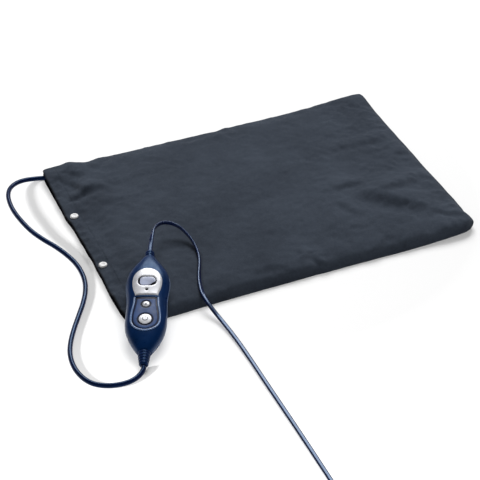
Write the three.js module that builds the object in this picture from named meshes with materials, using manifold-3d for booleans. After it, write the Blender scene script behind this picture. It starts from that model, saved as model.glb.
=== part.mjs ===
// Heating pad with a hand controller: a cotton cover over a heated felt insert, a moulded
// two-button controller that leans on the pad's front left corner, and the flexes that join them.
// Millimetres, +Z up. The origin is the centre of the pad's underside. +X runs along the pad's
// long side, away from the cover's mouth, and +Y along its short side.

import * as THREE from "three";
import { mergeVertices } from "three/addons/utils/BufferGeometryUtils.js";
import Module from "manifold-3d";

const wasm = await Module();
wasm.setup();

// Fits
const GAP = 0.3; // between pieces that touch
const SLIDE_GAP = 0.35; // round a moving button
const FLOOR_GAP = 0.1; // under pieces that rest on the table

// Pad cover
const PAD_LENGTH = 460;
const PAD_WIDTH = 340;
const CLOTH = 1.1;
const SEAM_HEIGHT = 5;
const SHOULDER_HEIGHT = 12;
const CROWN_HEIGHT = 16;
const EDGE_ROUND = 14; // plan width of the upper edge's curve
const UNDER_ROUND = 8; // plan width of the underside's turned-up edge
const END_BLUNT = 0.6;
const PAD_CORNER = 5;
const SIDE_DRAW = 1.6; // how far the long sides draw in
const HEM = 22; // flat hem along the mouth
const HEM_RAMP = 30;
const HEM_LIFT_REACH = 40; // hem that the snaps' backs hold up, past the outer snaps
const HEM_LIFT_FADE = 40;
const BULGE_HEIGHT = 4; // hump over the junction block
const BULGE_RADIUS = 40;

// Press snaps
const SNAP_COUNT = 2;
const SNAP_INSET = 10; // from the mouth
const SNAP_SPACING = 110;
const SNAP_CAP_RADIUS = 5.8;
const SNAP_CAP_THICK = 1.2;
const SNAP_BODY_RADIUS = 5;
const SNAP_STUD_BASE = 1;
const SNAP_SOCKET_THICK = 3.3;
const SNAP_POST_RADIUS = 1.4;
const SNAP_BALL_RADIUS = 2.1;
const SNAP_BALL_HEIGHT = 1.7;
const SNAP_SIDES = 10;
const HEM_LIFT = FLOOR_GAP + SNAP_CAP_THICK + GAP;
const HEM_TOP = HEM_LIFT + 2 * CLOTH + SNAP_STUD_BASE + SNAP_SOCKET_THICK + 3 * GAP;

// Heated insert
const INSERT_INSET = 14; // from the cover's long sides and its closed end
const INSERT_SETBACK = 50; // from the mouth
const INSERT_CORNER = 12;
const BASE_FELT = 2.6;
const TOP_FELT = 2.2;
const FELT_RIM = 6;
const POCKET_DEPTH = 3;
const WIRE_RADIUS = 1.2;
const WIRE_RUNS = 10;
const WIRE_SIDE_MARGIN = 14; // outermost run to the pocket's edge
const WIRE_TURN_STEPS = 4;
const LEAD_SPACING = 4;
const RETURN_OFFSET = 12; // return lead's line, from the pocket's mouth end
const CUTOUT_LENGTH = 18;
const CUTOUT_WIDTH = 7;
const CUTOUT_THICK = 2.2;

// Junction block
const BLOCK_LENGTH = 33;
const BLOCK_WIDTH = 20;
const BLOCK_THICK = 7.4;
const BLOCK_CORNER = 4;
const BLOCK_FROM_MOUTH = 40;
const BLOCK_FROM_SIDE = 10;
const SNOUT_LENGTH = 9;
const SNOUT_RADIUS = 3.6;
const NOTCH_MARGIN = 4; // felt cut away round the block

// Controller body: outline
const UPPER_LENGTH = 72; // waist to mains end
const LOWER_LENGTH = 73; // waist to pad-cord end
const UPPER_WIDTH = 51;
const WAIST_WIDTH = 46.6;
const LOWER_WIDTH = 48;
const UPPER_BULGE_AT = 31;
const LOWER_BULGE_AT = 29.5;
const UPPER_NECK_WIDTH = 14.4;
const LOWER_NECK_WIDTH = 16.4;
const UPPER_TAPER = 1.4;
const LOWER_TAPER = 1.05;
const DEPTH_TAPER = 0.85;
const FRONT_DEPTH = 14; // parting plane to face
const BACK_DEPTH = 13;
const NECK_DEPTH = 7.2;
const WAIST_SHARE = 0.93; // depth at the waist, of the depth at the bulges
const SECTION_POWER = 2.5; // squareness of the cross-section
const BODY_MESH = { stations: 20, sides: 24 };
const CAVITY_MESH = { stations: 12, sides: 16 };
const WALL = 2;

// Controller face
const BEZEL_FOOT = 4; // distances along the body are from the waist
const BEZEL_WIDEST = 26;
const BEZEL_TOP = 45.6;
const BEZEL_FOOT_WIDTH = 26.4;
const BEZEL_WIDTH = 34.8;
const BEZEL_FLARE = 1;
const BEZEL_PROUD = 1.2;
const BEZEL_SUNK = 0.8;
const WINDOW_AT = 24.6;
const WINDOW_WIDTH = 21.6;
const WINDOW_HEIGHT = 14.6;
const WINDOW_CORNER = 6.6;
const LENS_PROUD = 0.5;
const LAMP_AT = 11.5;
const LAMP_RADIUS = 1.3;
const PANEL_HEAD = 1.5;
const PANEL_WIDEST = -32;
const PANEL_FOOT = -49.4;
const PANEL_HEAD_WIDTH = 28;
const PANEL_WIDTH = 34;
const PANEL_SUNK = 0.7;
const PANEL_THICK = 0.5;
const LEVEL_AT = -10;
const LEVEL_RADIUS = 4.75;
const POWER_AT = -33;
const POWER_RADIUS = 8;
const RING_WIDTH = 1.5; // dark ring round each button
const BUTTON_PROUD = 0.3;
const BUTTON_CROWN = 0.9;
const BUTTON_FLANGE = 1.2;
const FLANGE_THICK = 1;
const GUIDE_FOOT = 6.5; // lower end of the buttons' guide tubes, above the parting plane
const GUIDE_WALL = 1.6;
const BUTTON_SIDES = 20;

// Controller inside
const BOARD_TOP = -0.4;
const BOARD_THICK = 1.6;
const BOARD_WIDTH = 32;
const BOARD_HEAD = 50;
const BOARD_FOOT = -44;
const BOARD_CORNER = 3;
const BOARD_RIB_WIDTH = 2;
const SWITCH_SIZE = 6;
const SWITCH_HEIGHT = 3.5;
const PLUNGER_RADIUS = 1.7;
const PLUNGER_LENGTH = 1.9;
const PLUNGER_DEPTH = 1; // of the plunger inside its switch
const BUTTON_TRAVEL = 0.8;
const MODULE_WIDTH = 24;
const MODULE_HEIGHT = 17;
const MODULE_TOP = 9.5;
const CHIP = { width: 7, length: 5, height: 1.5, x: -11 };
const TRIAC = { width: 10, length: 4.6, height: 6.5, x: -8, fromFoot: 14 };
const CAPACITOR = { width: 6, length: 13, height: 7, x: 8, fromHead: 18 };
const FUSE = { radius: 2.5, length: 20, x: -8, fromHead: 20 };
const SCREW_UPPER_AT = 57;
const SCREW_LOWER_AT = -55;
const SCREW_UPPER_SPREAD = 16;
const SCREW_LOWER_SPREAD = 20;
const SCREW_HEAD_RADIUS = 2.6;
const SCREW_HEAD = 1.9;
const SCREW_RADIUS = 1.25;
const SCREW_SEAT = -6; // under the screw heads
const SCREW_REACH = 6.2;
const SCREW_POINT = 1;
const SCREW_SIDES = 12;
const BOSS_WALL = 1.6;

// Boots
const MAINS_BOOT = { length: 11, base: 5.6, tip: 4.4, ribs: 3, flange: 4.6, groove: 3.2 };
const PAD_BOOT = { length: 18, base: 7.8, tip: 5.2, ribs: 5, flange: 5.2, groove: 3.8 };
const BOOT_FLANGE_THICK = 2;
const BOOT_RIB_DEPTH = 0.9;
const BOOT_SIDES = 12;

// Controller's place: the lower boot's tip stands on the table, the back leans on the pad
const TIP_PAST_MOUTH = 7.9;
const TIP_PAST_FRONT = 75.9;
const HEADING = THREE.MathUtils.degToRad(66.9);
const REST_GAP = 0.5;

// Flexes
const PAD_CORD_RADIUS = 3;
const PAD_CORD_STEPS = 44;
const CORD_EXIT_FROM_SIDE = 10; // where the pad cord passes the cover's mouth
const MAINS_WIDTH = 5.4;
const MAINS_THICK = 3.4;
const MAINS_STEPS = 44;
const MAINS_EDGE_ROLL = 1.3;
const MAINS_TURN_UP = [8, 50];
const MAINS_TURN_DOWN = [150, 235];
const CORD_SIDES = 8;
const STRAIGHT_OUT = 6;

// Coil of the mains flex, wound on edge in two layers
const COIL_START = [-121, -500];
const COIL_LEAD_IN = 50;
const COIL_TURNS = 7.25;
const COIL_RADIUS = 40.5; // outermost turn
const COIL_PITCH = MAINS_THICK + 0.6;
const COIL_LAYER = MAINS_WIDTH + 0.6;
const COIL_STEPS = 24; // in a turn
const COIL_SIDES = 6;
const COIL_LEVEL_RUN = 22;
const COIL_DROP_RUN = 34;
const TIE_THICK = 0.7;
const TIE_WIDTH = 9;
const TIE_CLEAR = 0.8;
const TIE_CORNER = 1;

// Two-pin plug
const PLUG_WIDTH = 35.2;
const PLUG_THICK = 13.6;
const PLUG_LENGTH = 36;
const PLUG_BOOT_LENGTH = 20;
const PLUG_BOOT_WIDTH = 9.6;
const PLUG_BOOT_THICK = 7.4;
const PLUG_TAIL_WIDTH = 12.4;
const PLUG_TAIL_THICK = 9;
const PLUG_STEP = 0.8; // between tail and grip, and round the face's edge
const PLUG_SIDES = 20;
const PIN_SPACING = 18.6;
const PIN_RADIUS = 2;
const PIN_LENGTH = 19;
const PIN_SLEEVE = 10;
const PIN_SHANK_RADIUS = 1.1;
const PIN_SHANK_DEPTH = 12;
const PIN_ROUND = 1.2;
const PIN_SIDES = 12;

const MOUTH_X = -PAD_LENGTH / 2;
const CLOSED_X = PAD_LENGTH / 2;

// Finishes
const finish = (color, roughness, metalness = 0) => () =>
  new THREE.MeshStandardMaterial({ color, roughness, metalness });
const cotton = finish(0x3e4650, 0.95);
const felt = finish(0xd8d4c8, 1);
const navyPlastic = finish(0x12235a, 0.3);
const navyRubber = finish(0x141f45, 0.5);
const silverPlastic = finish(0xd9dade, 0.3, 0.6);
const slatePanel = finish(0x5f7096, 0.35);
const whitePlastic = finish(0xeeeeec, 0.45);
const palePlastic = finish(0xd6d2c4, 0.6);
const smokedLens = finish(0xa5adc9, 0.15);
const darkPlastic = finish(0x1c1d22, 0.6);
const greenBoard = finish(0x1f5a3a, 0.6);
const steel = finish(0xb8bcc2, 0.3, 1);
const glass = finish(0xc8d4d8, 0.1);
const nickel = finish(0xc9c8c2, 0.25, 1);

// Closed bodies

// Merges shared corners, drops empty triangles and turns the faces outward.
function closed(geometry) {
  const plain = new THREE.BufferGeometry();
  plain.setAttribute("position", geometry.getAttribute("position"));
  plain.setIndex(geometry.getIndex());
  const merged = mergeVertices(plain, 1e-4);
  const position = merged.getAttribute("position");
  const corners = Array.from(merged.getIndex().array);
  const triangles = [];
  let volume = 0;
  const [a, b, c] = [new THREE.Vector3(), new THREE.Vector3(), new THREE.Vector3()];
  for (let i = 0; i < corners.length; i += 3) {
    const [p, q, r] = corners.slice(i, i + 3);
    if (p === q || q === r || r === p) {
      continue;
    }
    a.fromBufferAttribute(position, p);
    b.fromBufferAttribute(position, q);
    c.fromBufferAttribute(position, r);
    volume += a.dot(b.cross(c));
    triangles.push([p, q, r]);
  }
  merged.setIndex(triangles.flatMap(([p, q, r]) => (volume < 0 ? [p, r, q] : [p, q, r])));
  return merged;
}

function toSolid(geometry) {
  const body = closed(geometry);
  return new wasm.Manifold(
    new wasm.Mesh({
      numProp: 3,
      vertProperties: new Float32Array(body.getAttribute("position").array),
      triVerts: new Uint32Array(body.getIndex().array),
    }),
  );
}

function toGeometry(solid) {
  const { vertProperties, triVerts, numProp } = solid.getMesh();
  const positions = [];
  for (let i = 0; i < vertProperties.length; i += numProp) {
    positions.push(vertProperties[i], vertProperties[i + 1], vertProperties[i + 2]);
  }
  const geometry = new THREE.BufferGeometry();
  geometry.setAttribute("position", new THREE.Float32BufferAttribute(positions, 3));
  geometry.setIndex(Array.from(triVerts));
  return geometry;
}

// A skin through rings of equal count, with both ends closed. Point j of a ring faces point n - j.
function loft(rings) {
  const count = rings[0].length;
  const positions = rings.flat().flatMap((point) => point.toArray());
  const index = [];
  for (let i = 0; i + 1 < rings.length; i += 1) {
    for (let j = 0; j < count; j += 1) {
      const next = (j + 1) % count;
      const [a, b] = [i * count + j, i * count + next];
      const [d, c] = [a + count, b + count];
      index.push(a, b, c, a, c, d);
    }
  }
  const last = (rings.length - 1) * count;
  for (let j = 0; j < count / 2; j += 1) {
    const [a, b, c, d] = [j, j + 1, count - j - 1, (count - j) % count];
    index.push(a, c, b, a, d, c);
    index.push(last + a, last + b, last + c, last + a, last + c, last + d);
  }
  const geometry = new THREE.BufferGeometry();
  geometry.setAttribute("position", new THREE.Float32BufferAttribute(positions, 3));
  geometry.setIndex(index);
  return closed(geometry);
}

// An oval tube through points. Its wide way lies level, and each point may roll it round.
function sweep(points, halfWide, halfThin, sides, rolls = []) {
  const up = new THREE.Vector3(0, 0, 1);
  const rings = points.map((point, i) => {
    const before = points[Math.max(i - 1, 0)];
    const after = points[Math.min(i + 1, points.length - 1)];
    const along = after.clone().sub(before).normalize();
    const level = along.clone().cross(up).normalize();
    const upright = level.clone().cross(along);
    const roll = rolls[i] ?? 0;
    const wide = level.clone().multiplyScalar(Math.cos(roll)).addScaledVector(upright, Math.sin(roll));
    const thin = along.clone().cross(wide);
    return Array.from({ length: sides }, (_, j) => {
      const angle = (2 * Math.PI * j) / sides;
      return point
        .clone()
        .addScaledVector(wide, halfWide * Math.cos(angle))
        .addScaledVector(thin, halfThin * Math.sin(angle));
    });
  });
  return loft(rings);
}

// A round tube along a smooth curve through points, as a free flex lies.
function flexTube(points, radius, steps) {
  const section = new THREE.Shape(
    Array.from({ length: CORD_SIDES }, (_, j) => {
      const angle = (2 * Math.PI * (j + 0.5)) / CORD_SIDES;
      return new THREE.Vector2(radius * Math.cos(angle), radius * Math.sin(angle));
    }),
  );
  const extrudePath = new THREE.CatmullRomCurve3(points, false, "centripetal");
  return closed(new THREE.ExtrudeGeometry(section, { steps, extrudePath, bevelEnabled: false }));
}

function prism(outline, bottom, top, curveSegments = 8) {
  const geometry = new THREE.ExtrudeGeometry(outline, {
    depth: top - bottom,
    bevelEnabled: false,
    curveSegments,
  });
  return geometry.translate(0, 0, bottom);
}

// A turned body about +Z from [radius, height] pairs that start and end on the axis.
function turned(profile, sides) {
  const points = profile.map(([radius, height]) => new THREE.Vector2(radius, height));
  return closed(new THREE.LatheGeometry(points, sides).rotateX(Math.PI / 2));
}

function rod(radius, bottom, top, sides) {
  return turned([[0, bottom], [radius, bottom], [radius, top], [0, top]], sides);
}

function block(width, depth, bottom, top) {
  return new THREE.BoxGeometry(width, depth, top - bottom).translate(0, 0, (bottom + top) / 2);
}

function roundedRectangle(width, height, corner) {
  const [x, y] = [width / 2 - corner, height / 2 - corner];
  const outline = new THREE.Shape();
  outline.absarc(x, y, corner, 0, Math.PI / 2);
  outline.absarc(-x, y, corner, Math.PI / 2, Math.PI);
  outline.absarc(-x, -y, corner, Math.PI, 1.5 * Math.PI);
  outline.absarc(x, -y, corner, 1.5 * Math.PI, 2 * Math.PI);
  return outline;
}

function addPart(group, name, geometry, material, place = [0, 0, 0]) {
  const mesh = new THREE.Mesh(closed(geometry), material());
  mesh.name = name;
  mesh.position.set(...place);
  group.add(mesh);
  return mesh;
}

// Pad cover

const clamp01 = (value) => Math.min(Math.max(value, 0), 1);

function smoothRise(from, to, at) {
  const share = clamp01((at - from) / (to - from));
  return share * share * (3 - 2 * share);
}

function edgeRise(distance, round) {
  return Math.sqrt(1 - (1 - clamp01(distance / round)) ** 2);
}

// Half of the pad's width at x: sides that draw in, and rounded corners at the closed end.
function padHalfWidth(x) {
  const drawn = PAD_WIDTH / 2 - SIDE_DRAW * (1 - ((2 * x) / PAD_LENGTH) ** 2);
  const past = Math.max(x - (CLOSED_X - PAD_CORNER), 0);
  return drawn - PAD_CORNER + Math.sqrt(PAD_CORNER ** 2 - past ** 2);
}

const hemShare = (x) => 1 - smoothRise(MOUTH_X + HEM, MOUTH_X + HEM + HEM_RAMP, x);

const blockCentre = {
  x: MOUTH_X + BLOCK_FROM_MOUTH + BLOCK_LENGTH / 2,
  y: PAD_WIDTH / 2 - BLOCK_FROM_SIDE - BLOCK_WIDTH / 2,
};

function edgeShare(x, y, round) {
  const fromSide = Math.max(padHalfWidth(x) - Math.abs(y), 0);
  const fromEnd = Math.max(CLOSED_X - x, END_BLUNT);
  return edgeRise(fromSide, round) * edgeRise(fromEnd, round);
}

function coverTop(x, y) {
  const dome = (1 - ((2 * x) / PAD_LENGTH) ** 2) * (1 - ((2 * y) / PAD_WIDTH) ** 2);
  const pillow = SHOULDER_HEIGHT + (CROWN_HEIGHT - SHOULDER_HEIGHT) * dome;
  const fromBlock = Math.hypot(x - blockCentre.x, y - blockCentre.y) / BULGE_RADIUS;
  const bulge = BULGE_HEIGHT * Math.exp(-(fromBlock ** 2));
  const full = HEM_TOP + (pillow - HEM_TOP) * (1 - hemShare(x)) + bulge;
  return SEAM_HEIGHT + (full - SEAM_HEIGHT) * edgeShare(x, y, EDGE_ROUND);
}

function coverUnderside(x, y) {
  const reach = (SNAP_SPACING * (SNAP_COUNT - 1)) / 2 + HEM_LIFT_REACH;
  const held = 1 - smoothRise(reach, reach + HEM_LIFT_FADE, Math.abs(y));
  return SEAM_HEIGHT * (1 - edgeShare(x, y, UNDER_ROUND)) + HEM_LIFT * hemShare(x) * held;
}

// One loop of the cover's skin at x: over the top from +Y to -Y and back below.
function coverRing(x, inset) {
  const half = padHalfWidth(x);
  const shrink = (half - inset) / half;
  const along = Math.min(x, CLOSED_X - inset);
  const edgeSteps = [0, 0.2, 0.55, 1.05].map((share) => share * EDGE_ROUND);
  const middleSteps = 9;
  const flat = half - edgeSteps.at(-1);
  const middle = Array.from(
    { length: middleSteps - 1 },
    (_, i) => flat * (1 - (2 * (i + 1)) / middleSteps),
  );
  const near = edgeSteps.map((step) => half - step);
  const across = [...near, ...middle, ...near.map((y) => -y).reverse()];
  const isSeam = (i) => i === 0 || i === across.length - 1;
  const over = across.map((y, i) => {
    const height = isSeam(i) ? SEAM_HEIGHT : coverTop(x, y) - inset;
    return new THREE.Vector3(along, y * shrink, height);
  });
  const under = across
    .slice(1, -1)
    .reverse()
    .map((y) => new THREE.Vector3(along, y * shrink, coverUnderside(x, y) + inset));
  return [...over, ...under];
}

function coverStations() {
  const fromMouth = [0, HEM, HEM + HEM_RAMP / 2, HEM + HEM_RAMP];
  const fromEnd = [2, 0.6, 0.3, 0.1, 0].map((share) => share * EDGE_ROUND);
  const middleCount = 10;
  const [start, stop] = [MOUTH_X + fromMouth.at(-1), CLOSED_X - fromEnd[0]];
  const middle = Array.from(
    { length: middleCount - 1 },
    (_, i) => start + ((stop - start) * (i + 1)) / middleCount,
  );
  const first = fromMouth.map((step) => MOUTH_X + step);
  const last = fromEnd.map((step) => CLOSED_X - step);
  return [...first, ...middle, ...last];
}

const snapPlaces = Array.from({ length: SNAP_COUNT }, (_, i) => ({
  x: MOUTH_X + SNAP_INSET,
  y: SNAP_SPACING * ((SNAP_COUNT - 1) / 2 - i),
}));

// The pouch is one skin: from the inner end out to the mouth, and back over the outside.
function padCover() {
  const stations = coverStations();
  const inside = stations.map((x) => coverRing(x, CLOTH)).reverse();
  const outside = stations.map((x) => coverRing(x, 0));
  let pouch = toSolid(loft([...inside, ...outside]));
  for (const { x, y } of snapPlaces) {
    const hole = rod(SNAP_POST_RADIUS + GAP, -CLOTH, HEM_TOP + CLOTH, SNAP_SIDES);
    pouch = pouch.subtract(toSolid(hole.translate(x, y, 0)));
  }
  return toGeometry(pouch);
}

// Press snaps, from the table upward: back, stud, socket and cap

const studFoot = HEM_LIFT + CLOTH + GAP;
const socketFoot = studFoot + SNAP_STUD_BASE + GAP;
const socketTop = socketFoot + SNAP_SOCKET_THICK;
const capFoot = HEM_TOP + GAP;

function snapBack() {
  const rim = FLOOR_GAP + SNAP_CAP_THICK / 2;
  const seat = FLOOR_GAP + SNAP_CAP_THICK;
  return turned([
    [0, FLOOR_GAP],
    [SNAP_CAP_RADIUS * 0.8, FLOOR_GAP],
    [SNAP_CAP_RADIUS, rim],
    [SNAP_CAP_RADIUS, seat],
    [SNAP_POST_RADIUS, seat],
    [SNAP_POST_RADIUS, studFoot + SNAP_STUD_BASE],
    [0, studFoot + SNAP_STUD_BASE],
  ], SNAP_SIDES);
}

function snapStud() {
  const bore = SNAP_POST_RADIUS + GAP;
  const boreTop = studFoot + SNAP_STUD_BASE + GAP;
  const baseTop = studFoot + SNAP_STUD_BASE;
  return turned([
    [0, boreTop],
    [bore, boreTop],
    [bore, studFoot],
    [SNAP_BODY_RADIUS, studFoot],
    [SNAP_BODY_RADIUS, baseTop],
    [SNAP_BALL_RADIUS, baseTop],
    [SNAP_BALL_RADIUS, baseTop + SNAP_BALL_HEIGHT * 0.8],
    [SNAP_BALL_RADIUS * 0.7, baseTop + SNAP_BALL_HEIGHT],
    [0, baseTop + SNAP_BALL_HEIGHT],
  ], SNAP_SIDES);
}

function snapSocket() {
  const mouth = SNAP_BALL_RADIUS + GAP;
  const mouthTop = socketFoot + SNAP_BALL_HEIGHT;
  const bore = SNAP_POST_RADIUS + GAP;
  return turned([
    [mouth, socketFoot],
    [SNAP_BODY_RADIUS, socketFoot],
    [SNAP_BODY_RADIUS, socketTop],
    [bore, socketTop],
    [bore, mouthTop],
    [mouth, mouthTop],
    [mouth, socketFoot],
  ], SNAP_SIDES);
}

function snapCap() {
  const postFoot = socketFoot + SNAP_BALL_HEIGHT + GAP;
  return turned([
    [0, postFoot],
    [SNAP_POST_RADIUS, postFoot],
    [SNAP_POST_RADIUS, capFoot],
    [SNAP_CAP_RADIUS, capFoot],
    [SNAP_CAP_RADIUS, capFoot + SNAP_CAP_THICK / 3],
    [SNAP_CAP_RADIUS * 0.75, capFoot + SNAP_CAP_THICK * 0.85],
    [0, capFoot + SNAP_CAP_THICK],
  ], SNAP_SIDES);
}

// Heated insert

const insertBox = {
  left: MOUTH_X + INSERT_SETBACK,
  right: CLOSED_X - INSERT_INSET,
  front: -PAD_WIDTH / 2 + INSERT_INSET,
  back: PAD_WIDTH / 2 - INSERT_INSET,
};
const blockRight = blockCentre.x + BLOCK_LENGTH / 2;
const notch = {
  x: blockRight + NOTCH_MARGIN,
  y: blockCentre.y - BLOCK_WIDTH / 2 - NOTCH_MARGIN,
};
const feltFoot = CLOTH + GAP;
const pocketFoot = feltFoot + BASE_FELT + GAP;
const pocketTop = pocketFoot + POCKET_DEPTH;
const insertTop = pocketTop + TOP_FELT;
const wireHeight = feltFoot + BASE_FELT + GAP + WIRE_RADIUS;

// The insert's plan, with the corner by the junction block cut away, drawn in by inset.
function insertOutline(inset) {
  const { left, right, front, back } = insertBox;
  const corner = Math.max(INSERT_CORNER - inset, 1);
  const [x0, x1, y0, y1] = [left + inset, right - inset, front + inset, back - inset];
  const outline = new THREE.Shape();
  outline.moveTo(x0, notch.y - inset);
  outline.absarc(x0 + corner, y0 + corner, corner, Math.PI, 1.5 * Math.PI);
  outline.absarc(x1 - corner, y0 + corner, corner, 1.5 * Math.PI, 2 * Math.PI);
  outline.absarc(x1 - corner, y1 - corner, corner, 0, Math.PI / 2);
  outline.lineTo(notch.x + inset, y1);
  outline.lineTo(notch.x + inset, notch.y - inset);
  return outline;
}

const leadY = insertBox.back - FELT_RIM - GAP - 2 * WIRE_RADIUS;

function insertTopFelt() {
  const slab = toSolid(prism(insertOutline(0), pocketFoot, insertTop, 3));
  const pocket = toSolid(prism(insertOutline(FELT_RIM), feltFoot, pocketTop, 3));
  const slotWidth = LEAD_SPACING + 4 * WIRE_RADIUS;
  const slot = block(2 * FELT_RIM, slotWidth, feltFoot, pocketTop);
  slot.translate(notch.x + FELT_RIM, leadY - LEAD_SPACING / 2, 0);
  return toGeometry(slab.subtract(pocket).subtract(toSolid(slot)));
}

function arcPoints(x, y, radius, from, to, steps) {
  return Array.from({ length: steps + 1 }, (_, i) => {
    const angle = from + ((to - from) * i) / steps;
    return new THREE.Vector3(x + radius * Math.cos(angle), y + radius * Math.sin(angle), wireHeight);
  });
}

const wirePitch = (leadY - (insertBox.front + FELT_RIM + WIRE_SIDE_MARGIN)) / (WIRE_RUNS - 1);

// One element: out along the back run, to and fro, and home beside the mouth end.
function heatingWire() {
  const turnRadius = wirePitch / 2;
  const bend = LEAD_SPACING;
  const rightTurn = insertBox.right - FELT_RIM - WIRE_SIDE_MARGIN - turnRadius;
  const homeX = insertBox.left + FELT_RIM + RETURN_OFFSET;
  const start = blockRight + GAP;
  const leftTurn = Math.max(homeX, notch.x + FELT_RIM) + 2 * bend + turnRadius;
  const points = [new THREE.Vector3(start, leadY, wireHeight)];
  for (let run = 0; run < WIRE_RUNS - 1; run += 1) {
    const middle = leadY - wirePitch * (run + 0.5);
    const [centre, side] = run % 2 === 0 ? [rightTurn, -1] : [leftTurn, 1];
    const [from, to] = [Math.PI / 2, Math.PI / 2 + side * Math.PI];
    points.push(...arcPoints(centre, middle, turnRadius, from, to, WIRE_TURN_STEPS));
  }
  const lastY = leadY - wirePitch * (WIRE_RUNS - 1);
  const homeY = leadY - LEAD_SPACING;
  const crossX = notch.x + FELT_RIM + bend;
  points.push(...arcPoints(crossX + bend, lastY + bend, bend, 1.5 * Math.PI, Math.PI, 2));
  points.push(...arcPoints(crossX - bend, homeY - bend, bend, 0, Math.PI / 2, 2));
  points.push(new THREE.Vector3(start, homeY, wireHeight));
  return sweep(points, WIRE_RADIUS, WIRE_RADIUS, 6);
}

function thermalCutout() {
  const run = Math.floor(WIRE_RUNS / 2);
  const y = leadY - wirePitch * run - WIRE_RADIUS - GAP - CUTOUT_WIDTH / 2;
  const capsule = roundedRectangle(CUTOUT_LENGTH, CUTOUT_WIDTH, CUTOUT_WIDTH / 2 - GAP);
  const foot = feltFoot + BASE_FELT + GAP;
  return prism(capsule, foot, foot + CUTOUT_THICK, 3).translate(0, y, 0);
}

const snoutTip = new THREE.Vector3(
  blockCentre.x - BLOCK_LENGTH / 2 - SNOUT_LENGTH,
  blockCentre.y,
  feltFoot + BLOCK_THICK / 2,
);

function junctionBlock() {
  const outline = roundedRectangle(BLOCK_LENGTH, BLOCK_WIDTH, BLOCK_CORNER);
  const body = prism(outline, feltFoot, feltFoot + BLOCK_THICK, 4);
  body.translate(blockCentre.x, blockCentre.y, 0);
  const overlap = BLOCK_LENGTH / 2;
  const snout = rod(SNOUT_RADIUS, 0, SNOUT_LENGTH + overlap, CORD_SIDES + 4).rotateY(Math.PI / 2);
  snout.translate(snoutTip.x, snoutTip.y, snoutTip.z);
  return toGeometry(toSolid(body).add(toSolid(snout)));
}

// Controller housing. Its own frame: +Y towards the mains end, +Z out of the face, the waist at
// y = 0 and the parting plane at z = 0.

function outlineShare(y, end, bulgeAt, power) {
  return (1 - clamp01((Math.abs(y) - bulgeAt) / (end - bulgeAt)) ** 2) ** power;
}

function bodyHalfWidth(y) {
  const upper = y > 0;
  const bulgeAt = upper ? UPPER_BULGE_AT : LOWER_BULGE_AT;
  const bulge = (upper ? UPPER_WIDTH : LOWER_WIDTH) / 2;
  if (Math.abs(y) < bulgeAt) {
    const share = 0.5 - 0.5 * Math.cos((Math.PI * Math.abs(y)) / bulgeAt);
    return WAIST_WIDTH / 2 + (bulge - WAIST_WIDTH / 2) * share;
  }
  const neck = (upper ? UPPER_NECK_WIDTH : LOWER_NECK_WIDTH) / 2;
  const [end, power] = upper ? [UPPER_LENGTH, UPPER_TAPER] : [LOWER_LENGTH, LOWER_TAPER];
  return neck + (bulge - neck) * outlineShare(y, end, bulgeAt, power);
}

function bodyDepth(y, depth) {
  const upper = y > 0;
  const bulgeAt = upper ? UPPER_BULGE_AT : LOWER_BULGE_AT;
  if (Math.abs(y) < bulgeAt) {
    const share = 0.5 - 0.5 * Math.cos((Math.PI * Math.abs(y)) / bulgeAt);
    return depth * (WAIST_SHARE + (1 - WAIST_SHARE) * share);
  }
  const end = upper ? UPPER_LENGTH : LOWER_LENGTH;
  return NECK_DEPTH + (depth - NECK_DEPTH) * outlineShare(y, end, bulgeAt, DEPTH_TAPER);
}

const squared = (value) => Math.sign(value) * Math.abs(value) ** (2 / SECTION_POWER);

function bodyRing(y, offset, sides) {
  const half = bodyHalfWidth(y) + offset;
  const front = bodyDepth(y, FRONT_DEPTH) + offset;
  const back = bodyDepth(y, BACK_DEPTH) + offset;
  const ends = y >= UPPER_LENGTH ? offset : y <= -LOWER_LENGTH ? -offset : 0;
  return Array.from({ length: sides }, (_, j) => {
    const angle = (2 * Math.PI * j) / sides;
    const rise = squared(Math.sin(angle));
    return new THREE.Vector3(half * squared(Math.cos(angle)), y + ends, rise * (rise > 0 ? front : back));
  });
}

function bodyRings(offset, { stations, sides }) {
  return Array.from({ length: stations + 1 }, (_, i) => {
    const share = -Math.cos((Math.PI * i) / stations);
    return bodyRing(share < 0 ? share * LOWER_LENGTH : share * UPPER_LENGTH, offset, sides);
  });
}

// The whole housing as one solid, its surface moved out by offset.
const bodySolid = (offset, mesh = BODY_MESH) => toSolid(loft(bodyRings(offset, mesh)));

// Height of the face on the centre line.
const faceHeight = (y) => bodyDepth(y, FRONT_DEPTH);

const ABOVE = FRONT_DEPTH + 10;
const BELOW = -BACK_DEPTH - 10;
const housing = bodySolid(0);
const cavity = bodySolid(-WALL, CAVITY_MESH);
const rooted = bodySolid(-WALL / 2); // ribs and bosses run this far into the wall

function halfSpace(bottom, top) {
  return toSolid(block(2 * UPPER_WIDTH, 4 * LOWER_LENGTH, bottom, top));
}

// Outlines on the face, drawn out by grow.

function bezelOutline(grow) {
  const [foot, widest, top] = [BEZEL_FOOT - grow, BEZEL_WIDEST, BEZEL_TOP + grow];
  const [footHalf, half] = [BEZEL_FOOT_WIDTH / 2 + grow, BEZEL_WIDTH / 2 + grow];
  const flank = (widest - foot) / 2;
  const shoulder = (top - widest) * 0.56;
  const arch = half * 0.56;
  const outline = new THREE.Shape();
  outline.moveTo(-footHalf, foot);
  outline.lineTo(footHalf, foot);
  outline.bezierCurveTo(footHalf + BEZEL_FLARE, foot + flank / 2, half, widest - flank, half, widest);
  outline.bezierCurveTo(half, widest + shoulder, arch, top, 0, top);
  outline.bezierCurveTo(-arch, top, -half, widest + shoulder, -half, widest);
  outline.bezierCurveTo(-half, widest - flank, -footHalf - BEZEL_FLARE, foot + flank / 2, -footHalf, foot);
  return outline;
}

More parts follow.
